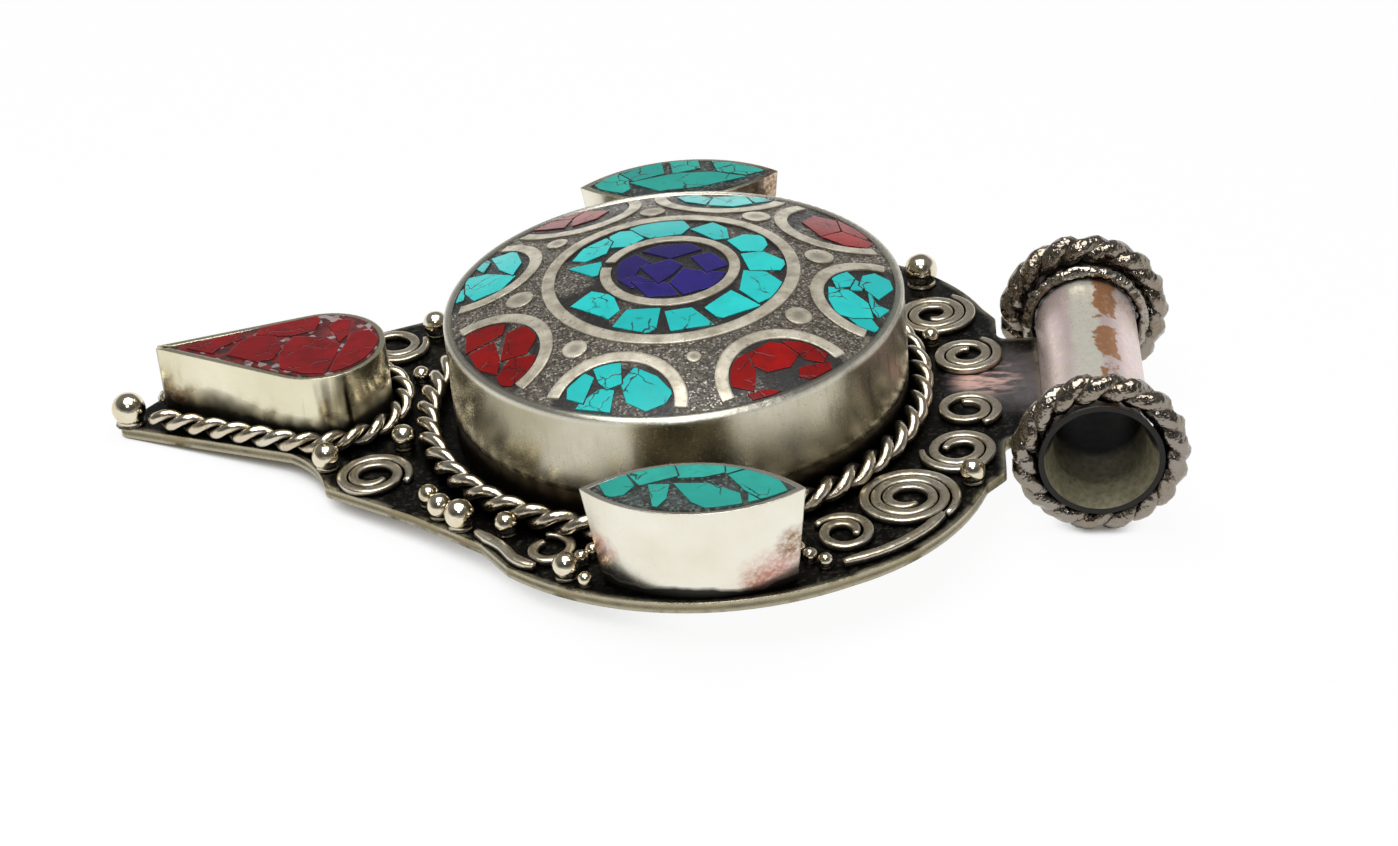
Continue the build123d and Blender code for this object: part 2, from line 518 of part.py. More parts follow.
outline = fillet(outline.vertices(), CORNER_R)
cut_tube = Location((TUBE_X, 0, TUBE_Z), (90, 0, 0)) * Cylinder(TUBE_R, TUBE_L)
base_plate = (solid_of(outline, 0, PLATE_T) - cut_tube).solids().sort_by(Axis.X)[0]

# Box on the plate: wall, ring that the lid sits on, twisted wire round it
box_wall = tube(WALL_R, WALL_R - SHEET, TOP, WALL_Z)
seat_ring = tube(BOX_R, WALL_R, TOP, SEAT_Z)
box_rope = Pos(0, 0, TOP + ROPE_R) * rope_ring(BOX_R + ROPE_R + SEAT_GAP, ROPE_R, ROPE_LOBES)

# Lid: wall, tray, and the inlay in it
lid_wall = tube(BOX_R, LID_IN, SEAT_Z, RIM_Z)
rim = lid_wall.edges().filter_by(GeomType.CIRCLE).group_by(Axis.Z)[-1].sort_by(SortBy.RADIUS)[-1]
lid_wall = fillet(rim, RIM_ROUND)
lid_tray = disc(LID_IN, TRAY_Z - SHEET, TRAY_Z)
wire_cap = dome(WIRE_PROUD) & disc(LID_IN, TRAY_Z, BIG)
chip_cap = dome(0) & disc(LID_IN, TRAY_Z, BIG)


def inlay_ring(radius, width):
    """A wire standing on the tray round the axis."""
    return tube(radius, radius - width, TRAY_Z, BIG) & wire_cap


outer_ring_wire = inlay_ring(OUTER_RING_R, OUTER_RING_W)
cut = Rot(0, 0, INNER_RING_CUT) * Pos(INNER_RING_R, 0, 0) * Box(4 * INNER_RING_W, INNER_RING_OPEN, BIG)
inner_ring_wire = inlay_ring(INNER_RING_R, INNER_RING_W) - cut
petal_wires = {}
petal_faces = []
for number, turn in enumerate(PETAL_TURNS):
    arc = CenterArc((-PETAL_AT, 0), PETAL_R - PETAL_W / 2, -PETAL_SPAN, 2 * PETAL_SPAN)
    strip = Rot(0, 0, turn + 180) * trace(arc, PETAL_W)
    petal_wires[f"petal_wire_{number + 1}"] = solid_of(strip, TRAY_Z, BIG) & wire_cap
    inside = Rot(0, 0, turn) * Pos(PETAL_AT, 0) * Circle(PETAL_R - PETAL_W - CHIP_GAP)
    petal_faces.append(inside & Circle(LID_IN - CHIP_GAP))


def chip_floor(outline):
    """Flat underside of a chip on the lid, under its lowest corner."""
    return dome_z(max(hypot(x, y) for x, y in outline)) - CHIP_T


ring_keep = Circle(OUTER_RING_R - OUTER_RING_W - CHIP_GAP) - Circle(INNER_RING_R + CHIP_GAP)
lapis_keep = Circle(INNER_RING_R - INNER_RING_W - CHIP_GAP)
inner_scale = INNER_RING_R / DRAWN_INNER_RING
outer_scale = OUTER_RING_R / DRAWN_OUTER_RING
petal_scale = PETAL_AT / DRAWN_PETAL_AT
lapis_outlines = scaled(LAPIS, inner_scale, inner_scale)
lapis_chips = joined(chips_of(lapis_outlines, lapis_keep, chip_floor, chip_cap))
ring_chips = joined(chips_of(scaled(RING, outer_scale, outer_scale), ring_keep, chip_floor, chip_cap))
petal_chips = []
for outlines, keep in zip(PETALS, petal_faces):
    outlines = scaled(outlines, petal_scale, petal_scale)
    petal_chips.append(chips_of(outlines, keep, chip_floor, chip_cap))
petal_turquoise = joined([chip for group in petal_chips[0::2] for chip in group])
petal_coral = joined([chip for group in petal_chips[1::2] for chip in group])
dots = []
for turn, following, size in zip(PETAL_TURNS, PETAL_TURNS[1:] + (PETAL_TURNS[0] + 360,), DOT_SIZES):
    place = Rot(0, 0, (turn + following) / 2) * Pos(OUTER_RING_R + DOT_OUT, 0, TRAY_Z)
    dots.append((place * Cylinder(DOT_R * size, BIG)) & wire_cap)
dots = joined(dots)
inlay_ground = dome(-GROUND_DROP) & disc(LID_IN, TRAY_Z, BIG)
for piece in (outer_ring_wire, inner_ring_wire, dots, lapis_chips, ring_chips, petal_turquoise,
              petal_coral, *petal_wires.values()):
    inlay_ground = inlay_ground - piece


def cup(place, outlines):
    """Wall, ground and chips of a side cup."""
    x, y, turn = place
    there = Location((x, y, TOP), (0, 0, turn))
    body = loft([lens(FOOT_L, FOOT_W), Pos(0, 0, CUP_H) * lens(CUP_L, CUP_W)])
    low_in = offset(lens(FOOT_L, FOOT_W), -CUP_SHEET, kind=Kind.INTERSECTION)
    high_in = offset(lens(CUP_L, CUP_W), -CUP_SHEET, kind=Kind.INTERSECTION)
    inside = loft([low_in, Pos(0, 0, CUP_H) * high_in])
    wall = there * (body - inside)
    radius = (CUP_L ** 2 / 4 + CUP_DOME ** 2) / (2 * CUP_DOME)
    cap = Pos(0, 0, CUP_H + CUP_DOME - radius) * Sphere(radius)
    ground_cap = Pos(0, 0, -GROUND_DROP) * cap
    keep = offset(high_in, -CHIP_GAP, kind=Kind.INTERSECTION)
    low = CUP_H - CHIP_T
    outlines = scaled(outlines, CUP_L / DRAWN_CUP[0], CUP_W / DRAWN_CUP[1])
    chips = joined(chips_of(outlines, keep, lambda chip: low, cap))
    fill = (inside + solid_of(high_in, CUP_H, CUP_H + 2 * CUP_DOME)) & ground_cap
    return wall, there * (fill - chips), there * chips


near_cup_wall, near_cup_ground, near_cup_chips = cup((NEAR_CUP_X, NEAR_CUP_Y, NEAR_CUP_TURN), NEAR_CHIPS)
far_cup_wall, far_cup_ground, far_cup_chips = cup((FAR_CUP_X, FAR_CUP_Y, FAR_CUP_TURN), FAR_CHIPS)

# Teardrop cup, the twisted wire round it and the ball at the tail
tear_there = Pos(TEAR_X, TEAR_Y, TOP)
tear_inside = solid_of(teardrop_face(-CUP_SHEET), 0, TEAR_H + 2 * CUP_DOME)
slit = Rot(0, 0, -TEAR_TURN) * Pos(-TEAR_L, 0, 0) * Box(TEAR_R, TEAR_SLIT, 3 * TEAR_H)
tear_wall = tear_there * (solid_of(teardrop_face(0), 0, TEAR_H) - tear_inside - slit)
tear_cap = Pos(0, 0, TEAR_H + CUP_DOME - TEAR_DOME_R) * Sphere(TEAR_DOME_R)
tear_keep = teardrop_face(-CUP_SHEET - CHIP_GAP)
tear_outlines = scaled(TEAR_CHIPS, TEAR_L / DRAWN_TEAR[0], TEAR_R / DRAWN_TEAR[1])
tear_chips = joined(chips_of(tear_outlines, tear_keep, lambda chip: TEAR_H - CHIP_T, tear_cap))
tear_ground = tear_there * ((tear_inside & Pos(0, 0, -GROUND_DROP) * tear_cap) - tear_chips)
tear_chips = tear_there * tear_chips
point, first, back, _ = teardrop(TEAR_ROPE_R + SEAT_GAP)
near_touch = polar(tear_rope_at, touch_angle)
tip_gap = TAIL_BALL_R + TEAR_ROPE_R + TIP_GAP


def short_of(end, start, gap):
    """A point on the way from end to start, a gap before the end."""
    length = hypot(start[0] - end[0], start[1] - end[1])
    return (end[0] + (start[0] - end[0]) * gap / length, end[1] + (start[1] - end[1]) * gap / length)


rope_path = Wire([Line(short_of(tail, near_touch, tip_gap), near_touch).edge(),
                  ThreePointArc(near_touch, back, first).edge(),
                  Line(first, short_of(point, first, tip_gap)).edge()])
rope_path = Pos(TEAR_X, TEAR_Y, TOP + TEAR_ROPE_R) * rope_path
tear_rope = rope_along(rope_path, TEAR_ROPE_R, TEAR_ROPE_LOBES)
tail_ball = ball(TAIL_X, TAIL_Y, TAIL_BALL_R, BALL_SINK)

# Scrolls, edge wires and balls on the plate
scrolls = {}
for name, (x, y, radius, start, hand) in SCROLLS.items():
    scrolls[name] = scroll(*spread((x, y)), radius, start, hand)
edge_wires = {}
for name, (width, points) in EDGE_WIRES.items():
    line = Spline(*[spread(point) for point in points])
    edge_wires[name] = solid_of(trace(line, width), TOP, TOP + EDGE_WIRE_H)
balls = joined([ball(*spread((x, y)), BALL_R * size, BALL_SINK) for x, y, size in BALLS])
grains = joined([ball(*spread((x, y)), GRAIN_R, BALL_SINK) for x, y in GRAINS])

pieces = {
    "base_plate": base_plate,
    "box_wall": box_wall,
    "seat_ring": seat_ring,
    "box_rope": box_rope,
    "lid_wall": lid_wall,
    "lid_tray": lid_tray,
    "inlay_ground": inlay_ground,
    "inner_ring_wire": inner_ring_wire,
    "outer_ring_wire": outer_ring_wire,
    **petal_wires,
    "dot_pins": dots,
    "lapis_chips": lapis_chips,
    "ring_chips": ring_chips,
    "petal_turquoise_chips": petal_turquoise,
    "petal_coral_chips": petal_coral,
    "near_cup_wall": near_cup_wall,
    "near_cup_ground": near_cup_ground,
    "near_cup_chips": near_cup_chips,
    "far_cup_wall": far_cup_wall,
    "far_cup_ground": far_cup_ground,
    "far_cup_chips": far_cup_chips,
    "tear_wall": tear_wall,
    "tear_ground": tear_ground,
    "tear_chips": tear_chips,
    "tear_rope": tear_rope,
    "tail_ball": tail_ball,
    **scrolls,
    **edge_wires,
    "balls": balls,
    "grains": grains,
    "bail_tube": bail_tube,
    **collars,
}

os.makedirs("parts", exist_ok=True)
for name, piece in pieces.items():
    export_step(piece if isinstance(piece, Compound) else Compound(piece.solids()), f"parts/{name}.step")
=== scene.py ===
from math import acos, atan2, cos, hypot, pi, radians, sin

import bmesh
import bpy
import numpy as np
from mathutils import Matrix, Vector, noise


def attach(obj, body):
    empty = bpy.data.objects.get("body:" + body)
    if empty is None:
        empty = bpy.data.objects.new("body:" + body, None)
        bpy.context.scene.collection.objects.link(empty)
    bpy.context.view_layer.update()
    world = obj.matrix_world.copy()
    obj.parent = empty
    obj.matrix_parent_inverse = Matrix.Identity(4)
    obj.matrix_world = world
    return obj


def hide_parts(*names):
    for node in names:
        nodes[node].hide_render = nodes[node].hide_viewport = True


# Looks of the inlaid amulet box pendant. Lengths are in millimetres until a mesh is made.
MM = 0.001

# Sizes that the finer pieces share with the model
TOP = 0.8
BOX_R = 16.0
SEAT_H = 2.45
RIM_H = 8.55
TEAR_X = -25.29
TEAR_Y = 1.5
TEAR_R = 4.6
TEAR_L = 12.35
TEAR_TURN = 5.1
TEAR_ROPE_R = 0.8
TEAR_ROPE_LOBES = 23
TAIL_BALL_R = 1.05
TIP_GAP = 0.3
TUBE_X = 28.702
TUBE_Z = 1.11
TUBE_R = 3.58
COLLAR_Y = 9.62
COLLAR_R = 5.072
COLLAR_ROPE_R = 1.08
COLLAR_LOBES = 17
TUBE_WIRE_Y = 8.02
TUBE_WIRE_R = 0.5
SEAT_GAP = 0.02
OUTER_RING_R = 8.95
OUTER_RING_W = 0.9
PETAL_AT = 14.7
PETAL_R = 4.9
PETAL_W = 0.9
PETAL_TURNS = (164, 211, 257, 304, 351, 396, 438, 481)
DOT_OUT = 1.55
DOT_SIZES = (0.95, 0.85, 0.5, 0.9, 1.0, 1.0, 0.9, 0.75)
SCROLL_W = 0.58
SCROLL_H = 0.5
SCROLL_PITCH = 0.8
SCROLL_EYE = 0.95
EDGE_WIRE_H = 0.6
BALL_R = 0.95
GRAIN_R = 0.45
BALL_SINK = 0.06

# Sizes that differ a little from the model: the wire round the box stands off it at the left
ROPE_X = -0.55
ROPE_RING_R = 17.35
ROPE_R = 0.92
ROPE_LOBES = 52
SCROLL_WORN_W = 0.68      # wider than drawn wire, from being pressed flat
SOLDERED = 1.16           # balls are this much larger with the solder on them

# Scroll wires: middle, outer radius, angle of the outer end, hand
SCROLLS = {
    "scroll_left_near": (-21.0, -7.9, 2.65, -20, 1),
    "scroll_left_far": (-21.3, 10.0, 2.4, 20, -1),
    "scroll_loop_left_near": (-8.3, -17.9, 1.8, 100, -1),
    "scroll_loop_left_far": (-11.2, 16.6, 1.8, -100, 1),
    "scroll_loop_right_near": (11.1, -17.8, 2.15, 150, -1),
    "scroll_loop_right_far": (9.6, 17.7, 2.1, -150, 1),
    "scroll_large_near": (15.7, -14.2, 3.45, -40, 1),
    "scroll_large_far": (18.0, 10.4, 2.85, 60, -1),
    "scroll_right_near": (19.0, -8.4, 2.65, 180, 1),
    "scroll_right_mid_near": (20.0, -3.3, 2.25, -60, 1),
    "scroll_right_mid_far": (20.1, 4.4, 2.45, 60, -1),
}

# Edge wires: width, and points to pass through
EDGE_WIRES = {
    "edge_wire_mid_near": (0.75, ((-13.3, -15.7), (-11.6, -17.4), (-10.4, -19.2), (-9.1, -20.1))),
    "edge_wire_right_near": (0.7, ((17.9, -16.4), (16.4, -18.3), (14.2, -20.1), (11.3, -21.5))),
}

# Balls: where, and how large against the usual ball
BALLS = ((-24.6, -5.9, 0.9), (-16.9, -11.3, 0.7), (-16.0, -12.9, 0.8), (-14.5, -14.3, 0.95),
         (-11.3, -15.4, 0.75), (-6.9, -21.0, 0.85), (-19.4, -3.7, 0.8), (-19.0, 5.0, 0.6),
         (-18.6, 11.9, 0.85), (-15.5, 13.4, 0.8), (20.0, -11.9, 0.8), (17.1, 15.4, 1.1),
         (17.6, 6.6, 0.6))
GRAINS = ((-5.6, -22.1), (-6.0, -19.5), (-5.3, -18.7), (8.3, -19.7), (9.1, -20.6), (10.1, -21.3))
TAIL_BALL = (-39.694, 1.548)

# Fineness of the meshes
STRAND_SIDES = 12
STEPS_PER_LOBE = 9
STEPS_PER_HALF = 20       # of a scroll's half circle
STEPS_PER_GAP = 14        # between two points of an edge wire
TEAR_ROUND_STEPS = 60     # round the teardrop's end
RING_STEPS = 180          # round a plain wire on the tube
BALL_FINENESS = 4

# Wear: the share of a radius or height by which lumps sink in, and how many there are in a millimetre
STRAND_WEAR = 0.12
COLLAR_WEAR = 0.4
STRAND_LUMPS = 0.9
TUBE_WIRE_WEAR = 0.8
TUBE_WIRE_LUMPS = 1.5
FLAT_WIRE_WEAR = 0.1
FLAT_WIRE_LUMPS = 0.8
COLLAR_MELT = 0.2         # share of its rope's radius by which a collar's strands run into each other

# Flat wires: half of the section as shares of half the width and of the height, and the narrower ends
FLAT_SECTION = ((1.0, 0.0), (1.0, 0.72), (0.93, 0.88), (0.7, 0.97))
FLAT_END = 0.6
FLAT_END_STEPS = 6

# Balls, in shares of their radius: unevenness, lumps, and the solder that climbs them
BALL_WEAR = 0.035
BALL_LUMPS = 1.6          # in a radius
FOOT_H = 0.4
FOOT_IN = 0.72            # reach of the solder at its upper end
FOOT_OUT = 0.2            # what its reach gains at the plate
SEED_SHIFT = (3.7, 1.9)   # from the unevenness of one ball to that of the next
GRAIN_SEED = 20
TAIL_SEED = 40

# Where the colour changes, by wear and stains and by painted shade, reflection and highlight: the cups, the
# drum's wall, the mastic, the plate and the hanging tube
# The black feet of the cups and the drum are painted reflection and shade from the black plate and rope.
CUP_FOOT_WANDER = 3.0                    # how far the upper end of a black foot goes up and down
DRUM_FOOT_WANDER = 2.0
DRUM_FOOT_H = 1.3
RIM_HIGHLIGHT_AND_POLISH = (0.6, 0.2)                  # depths under the rim between which its polish and painted highlight grow
SCUFFED_FROM = (-55, -15)                # angles round the drum, in degrees
SCUFFED_TO = (20, 60)
SCUFFS = (0.12, 0.7)                     # share of scuffs elsewhere and there
SETTING_EDGE = 0.15
BARE_PATCHES = ((-7.0, -0.4, 2.0), (-10.5, -7.4, 1.5))
# Painted shade darkens the plate's side up to this height.
PLATE_SIDE_SHADE = 0.5                    # height up to which the plate's side is darker
PLATE_RIM = 0.9
SOLDER_FILM = ((23.0, 0.8, TOP), 5.0, 2.6)    # place, reach and width of the fading edge
SOLDER_PINK = ((21.2, 1.2, TOP), 2.8, 1.6)
# The cream stripe along the top of the tube is a painted highlight.
HIGHLIGHT_STRIPE = (76, 84, 108, 118)        # angles round the tube: starts, is full, fades, is gone
BURNT_STRIPE = (46, 64, 80, 98)
# The black inside the tube, deep in and under its roof, is painted shade.
TUBE_DEEP_SHADE = (5.4, 4.4)                   # distances from its middle between which its inside turns black
TUBE_ROOF_SHADE = (0.2, 0.8)                   # heights over its axis between which its inside turns black
TUBE_FACING = 0.4                        # a face turned this far from or to its axis is outside or inside
STRIPE_EDGE = (1.4, 0.5)                 # how far and how often a millimetre the edge of a stripe wanders
STAIN_EDGE = (1.6, 0.6)                  # and the edge of a stain
NO_FOOT = (-9.0, -8.0)                   # heights under every piece, for metal with no black foot

# Floor: the pendant lies on its tail and its collars, so the floor leans under it
FLOOR_LOW = (28.7, -5.06)     # place along X and height, under the collars
FLOOR_HIGH = (-41.0, -0.02)   # and under the tail
FLOOR_HALF = 4000.0
SHADE_REACH = 4.0         # how far a piece above the floor darkens it
SHADE_FADE = (0.16, 0.48)
SHADE_SAMPLES = 16
FLOOR_GLOW = 0.94         # share of plain white in what the camera sees of the floor

# Room: strength at the horizon, overhead and behind the camera, and the directions between which it fades
ROOM_LOW = 1.0
ROOM_HIGH = 0.2
ROOM_FRONT = 0.4
ROOM_RISE = (0.1, 0.34)
ROOM_DEPTH = (-0.6, 0.1)

# Lamps: place, width and watts
LAMPS = {
    "overhead": ((0, -20, 340), 270, 1.1),
    "front": ((10, -250, 300), 60, 0.18),
}

# Camera as fitted to the photograph, angles in degrees
CAM_AZIMUTH = 4.678
CAM_ELEVATION = 31.381
CAM_ROLL = -5.458
CAM_DISTANCE = 249.974
CAM_TARGET = (1.281, -3.557, 1.373)
CAM_LENS = 92.665
CAM_SENSOR = 36.0
CAM_CLIP = 10.0

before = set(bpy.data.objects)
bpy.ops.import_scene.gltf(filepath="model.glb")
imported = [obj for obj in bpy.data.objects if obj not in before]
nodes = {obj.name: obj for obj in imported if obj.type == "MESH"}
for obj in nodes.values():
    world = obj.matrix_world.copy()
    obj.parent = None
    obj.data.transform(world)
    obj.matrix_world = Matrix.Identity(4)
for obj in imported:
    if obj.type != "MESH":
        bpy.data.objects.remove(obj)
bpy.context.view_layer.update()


def srgb(red, green, blue):
    """A colour given as 0 to 255 screen values, as linear light."""
    linear = []
    for value in (red, green, blue):
        share = value / 255
        linear.append(share / 12.92 if share <= 0.04045 else ((share + 0.055) / 1.055) ** 2.4)
    return (*linear, 1.0)


def darker(colour, red, green, blue):
    """A colour with a share of its red, green and blue."""
    return (colour[0] * red, colour[1] * green, colour[2] * blue, 1.0)


# Shader building


class Shader:
    """A material under construction. Most methods add nodes and give their output socket."""

    def __init__(self, name):
        self.material = bpy.data.materials.new(name)
        self.material.use_nodes = True
        self.tree = self.material.node_tree
        self.surface = self.tree.nodes["Principled BSDF"]
        self.coords = self.add("ShaderNodeTexCoord").outputs["Object"]

    def add(self, kind, inputs=None, **settings):
        made = self.tree.nodes.new(kind)
        for key, value in settings.items():
            setattr(made, key, value)
        for key, value in (inputs or {}).items():
            self.feed(made.inputs[key], value)
        return made

    def feed(self, socket, value):
        if isinstance(value, bpy.types.NodeSocket):
            self.tree.links.new(value, socket)
        else:
            socket.default_value = value

    def set(self, **values):
        """Feeds the surface, with _ for the blanks in the names of its sockets."""
        for key, value in values.items():
            self.feed(self.surface.inputs[key.replace("_", " ")], value)

    def math(self, operation, first, second=0.0):
        return self.add("ShaderNodeMath", {0: first, 1: second}, operation=operation).outputs[0]

    def vector(self, operation, first, second, output=0):
        return self.add("ShaderNodeVectorMath", {0: first, 1: second}, operation=operation).outputs[output]

    def span(self, value, low, high, to_low=0.0, to_high=1.0):
        """Value brought from one range to another, held at the ends."""
        inputs = {"Value": value, "From Min": low, "From Max": high, "To Min": to_low, "To Max": to_high}
        return self.add("ShaderNodeMapRange", inputs).outputs["Result"]

    def stripe(self, angle, starts, full, fades, gone):
        """One between two angles in degrees, fading to nothing outside them."""
        return self.math("MULTIPLY", self.span(angle, radians(starts), radians(full)),
                         self.span(angle, radians(fades), radians(gone), 1.0, 0.0))

    def mix(self, share, first, second):
        """A share of the way from one colour to another. 6, 7 and 2 are the node's colour sockets."""
        made = self.add("ShaderNodeMix", data_type="RGBA")
        self.feed(made.inputs[0], share)
        self.feed(made.inputs[6], first)
        self.feed(made.inputs[7], second)
        return made.outputs[2]

    def noise(self, per_mm, detail=3.0, rough=0.5, vector=None):
        """Clouds from nothing to one, with about so many in a millimetre."""
        inputs = {"Vector": vector or self.coords, "Scale": per_mm / MM, "Detail": detail, "Roughness": rough}
        return self.add("ShaderNodeTexNoise", inputs).outputs["Fac"]

    def cells(self, per_mm, feature="F1", vector=None, output="Distance"):
        """Cells of which about so many fit in a millimetre."""
        inputs = {"Vector": vector or self.coords, "Scale": per_mm / MM}
        return self.add("ShaderNodeTexVoronoi", inputs, feature=feature).outputs[output]

    def moved(self, amount_mm, per_mm):
        """The coordinates pushed about by noise, to make lines wander."""
        inputs = {"Vector": self.coords, "Scale": per_mm / MM, "Detail": 3.0}
        colour = self.add("ShaderNodeTexNoise", inputs).outputs["Color"]
        centred = self.vector("SUBTRACT", colour, (0.5, 0.5, 0.5))
        pushed = self.add("ShaderNodeVectorMath", {0: centred, "Scale": amount_mm * MM}, operation="SCALE")
        return self.vector("ADD", self.coords, pushed.outputs[0])

    def stretched(self, x, y, z):
        """The coordinates scaled along each axis."""
        return self.vector("MULTIPLY", self.coords, (x, y, z))

    def near(self, place, reach, edge):
        """One near a place, fading to nothing over an edge that noise makes ragged."""
        there = tuple(value * MM for value in place)
        away = self.vector("DISTANCE", self.moved(*STAIN_EDGE), there, "Value")
        return self.span(away, (reach - edge) * MM, reach * MM, 1.0, 0.0)

    def hollow(self, reach_mm, low, high, samples=6):
        """One in grooves and corners, nothing on open surfaces."""
        inputs = {"Distance": reach_mm * MM}
        made = self.add("ShaderNodeAmbientOcclusion", inputs, samples=samples)
        return self.span(made.outputs["AO"], low, high, 1.0, 0.0)

    def relief(self, height, depth_mm, strength=1.0, soft_edge_mm=0.0):
        """A normal from a height, over edges rounded by the given radius."""
        inputs = {"Strength": strength, "Distance": depth_mm * MM, "Height": height}
        made = self.add("ShaderNodeBump", inputs)
        if soft_edge_mm:
            self.feed(made.inputs["Normal"], self.rounded(soft_edge_mm, 4))
        return made.outputs["Normal"]

    def rounded(self, radius_mm, samples):
        """The normal with edges rounded by a radius."""
        return self.add("ShaderNodeBevel", {"Radius": radius_mm * MM}, samples=samples).outputs["Normal"]

    def normal(self):
        return self.add("ShaderNodeNewGeometry").outputs["Normal"]

    def island(self):
        """A number that differs from chip to chip."""
        return self.add("ShaderNodeNewGeometry").outputs["Random Per Island"]

    def axes(self, vector=None):
        """The three parts of a vector, of the place unless another is given."""
        return self.add("ShaderNodeSeparateXYZ", {0: vector or self.coords}).outputs

    def faces_up(self):
        """One on faces that look up, nothing on upright faces."""
        return self.span(self.axes(self.normal())[2], 0.5, 0.8)

    def off_axis(self, x, y):
        """Distance in plan from an upright axis."""
        return self.vector("DISTANCE", self.stretched(1, 1, 0), (x * MM, y * MM, 0), "Value")


def worn_metal(name, pale, dark, groove, foot, rough, dent):
    """White metal with black patina in its grooves and at its foot.

    groove is the reach of the hollows with the low and high ends of their fade, foot the two heights
    over the plate between which the patina ends, dent the depth of its unevenness.
    """
    s = Shader(name)
    blotch = s.noise(0.5, 4.0, 0.6)
    fine = s.noise(4.0, 4.0, 0.6)
    hollow = s.hollow(*groove)
    low = s.span(s.axes()[2], (TOP + foot[0]) * MM, (TOP + foot[1]) * MM, 1.0, 0.0)
    spots = s.math("MULTIPLY", s.span(blotch, 0.55, 0.75, 0.0, 0.35), s.span(fine, 0.4, 0.62))
    tarnish = s.math("MAXIMUM", s.math("MAXIMUM", hollow, low), spots)
    warm = s.mix(s.span(blotch, 0.35, 0.65), pale, darker(pale, 0.92, 0.85, 0.75))
    s.set(Base_Color=s.mix(tarnish, warm, dark), Metallic=1.0,
          Roughness=s.math("ADD", s.span(fine, 0.3, 0.7, rough - 0.05, rough + 0.07),
                           s.math("MULTIPLY", tarnish, 0.25)))
    lumps = s.noise(1.4, 2.5, 0.5)
    s.set(Normal=s.relief(s.math("ADD", s.math("MULTIPLY", fine, 0.05), lumps), dent))
    return s.material


def satin_metal(name, pale, shade, stains, waves, foot, reflection_stripes=None):
    """Satin sheet of a cup, black up to foot above the plate: a painted reflection and shade from the black
    plate and rope.

    Each stain is a place, a reach and a colour left by heat. waves is the depth of its unevenness.
    The place and reach given last mark dark upright stripes, a painted reflection.
    """
    s = Shader(name)
    cloud = s.noise(0.2, 3.0, 0.5)
    fine = s.noise(3.0, 4.0, 0.6)
    folds = s.noise(0.5, 2.0, 0.5, s.stretched(1.0, 1.0, 0.1))
    colour = s.mix(s.span(cloud, 0.35, 0.7), pale, shade)
    for place, reach, tint in stains:
        share = s.math("MULTIPLY", s.near(place, reach, reach * 0.6), s.span(fine, 0.35, 0.6, 0.35, 0.95))
        colour = s.mix(share, colour, tint)
    if reflection_stripes:
        place, reach = reflection_stripes
        # Dark upright stripes near the given place: a painted reflection.
        lines = s.span(s.noise(0.75, 2.0, 0.5, s.stretched(1.0, 1.0, 0.06)), 0.5, 0.6)
        colour = s.mix(s.math("MULTIPLY", lines, s.near(place, reach, reach * 0.5)), colour, srgb(58, 52, 38))
    # Black foot: painted reflection and shade from the black plate and rope.
    wander = s.math("MULTIPLY", s.math("SUBTRACT", cloud, 0.5), CUP_FOOT_WANDER * MM)
    height = s.math("ADD", s.axes()[2], wander)
    black = s.span(height, (TOP + foot * 0.5) * MM, (TOP + foot) * MM, 0.95, 0.0)
    colour = s.mix(black, colour, srgb(26, 26, 25))
    s.set(Base_Color=colour, Metallic=1.0,
          Roughness=s.math("ADD", s.span(fine, 0.3, 0.7, 0.22, 0.28), s.math("MULTIPLY", black, 0.3)))
    s.set(Normal=s.relief(s.math("ADD", folds, s.math("MULTIPLY", fine, 0.06)), waves, 1.0, 0.12))
    return s.material


def lid_metal(name):
    """Satin drum wall, grey with handling, scuffed on one side, painted highlight at its polished rim,
    painted shade at its foot.
    """
    s = Shader(name)
    x, y, z = s.axes()
    angle = s.math("ARCTAN2", y, x)
    round_wall = s.math("MULTIPLY", angle, BOX_R * MM)
    upright = s.add("ShaderNodeCombineXYZ", {0: round_wall, 1: s.math("MULTIPLY", z, 0.15)}).outputs[0]
    scratch = s.noise(1.6, 4.0, 0.65, upright)
    cloud = s.noise(0.14, 3.0, 0.5)
    fine = s.noise(4.0, 4.0, 0.6)
    colour = s.mix(s.span(cloud, 0.35, 0.68), srgb(214, 209, 190), srgb(176, 169, 143))
    least, most = SCUFFS
    side = s.math("MINIMUM", s.span(angle, *map(radians, SCUFFED_FROM), least, most),
                  s.span(angle, *map(radians, SCUFFED_TO), most, least))
    scuffed = s.math("MULTIPLY", s.span(scratch, 0.52, 0.72), side)
    colour = s.mix(scuffed, colour, srgb(92, 84, 66))
    # Black foot: painted reflection and shade from the black plate and rope.
    wander = s.math("MULTIPLY", s.math("SUBTRACT", cloud, 0.5), DRUM_FOOT_WANDER * MM)
    height = s.math("ADD", z, wander)
    black = s.span(height, (TOP + SEAT_H) * MM, (TOP + SEAT_H + DRUM_FOOT_H) * MM, 0.9, 0.0)
    colour = s.mix(black, colour, srgb(34, 32, 26))
    # Paler, smoother band under the rim: polish and painted highlight.
    rim = s.span(z, (TOP + RIM_H - RIM_HIGHLIGHT_AND_POLISH[0]) * MM, (TOP + RIM_H - RIM_HIGHLIGHT_AND_POLISH[1]) * MM)
    colour = s.mix(rim, colour, srgb(226, 222, 206))
    s.set(Base_Color=colour, Metallic=1.0,
          Roughness=s.math("SUBTRACT", s.span(fine, 0.3, 0.7, 0.24, 0.28), s.math("MULTIPLY", rim, 0.08)))
    s.set(Normal=s.relief(s.math("ADD", s.math("MULTIPLY", scratch, 0.2), cloud), 0.05, 0.5, 0.7))
    return s.material


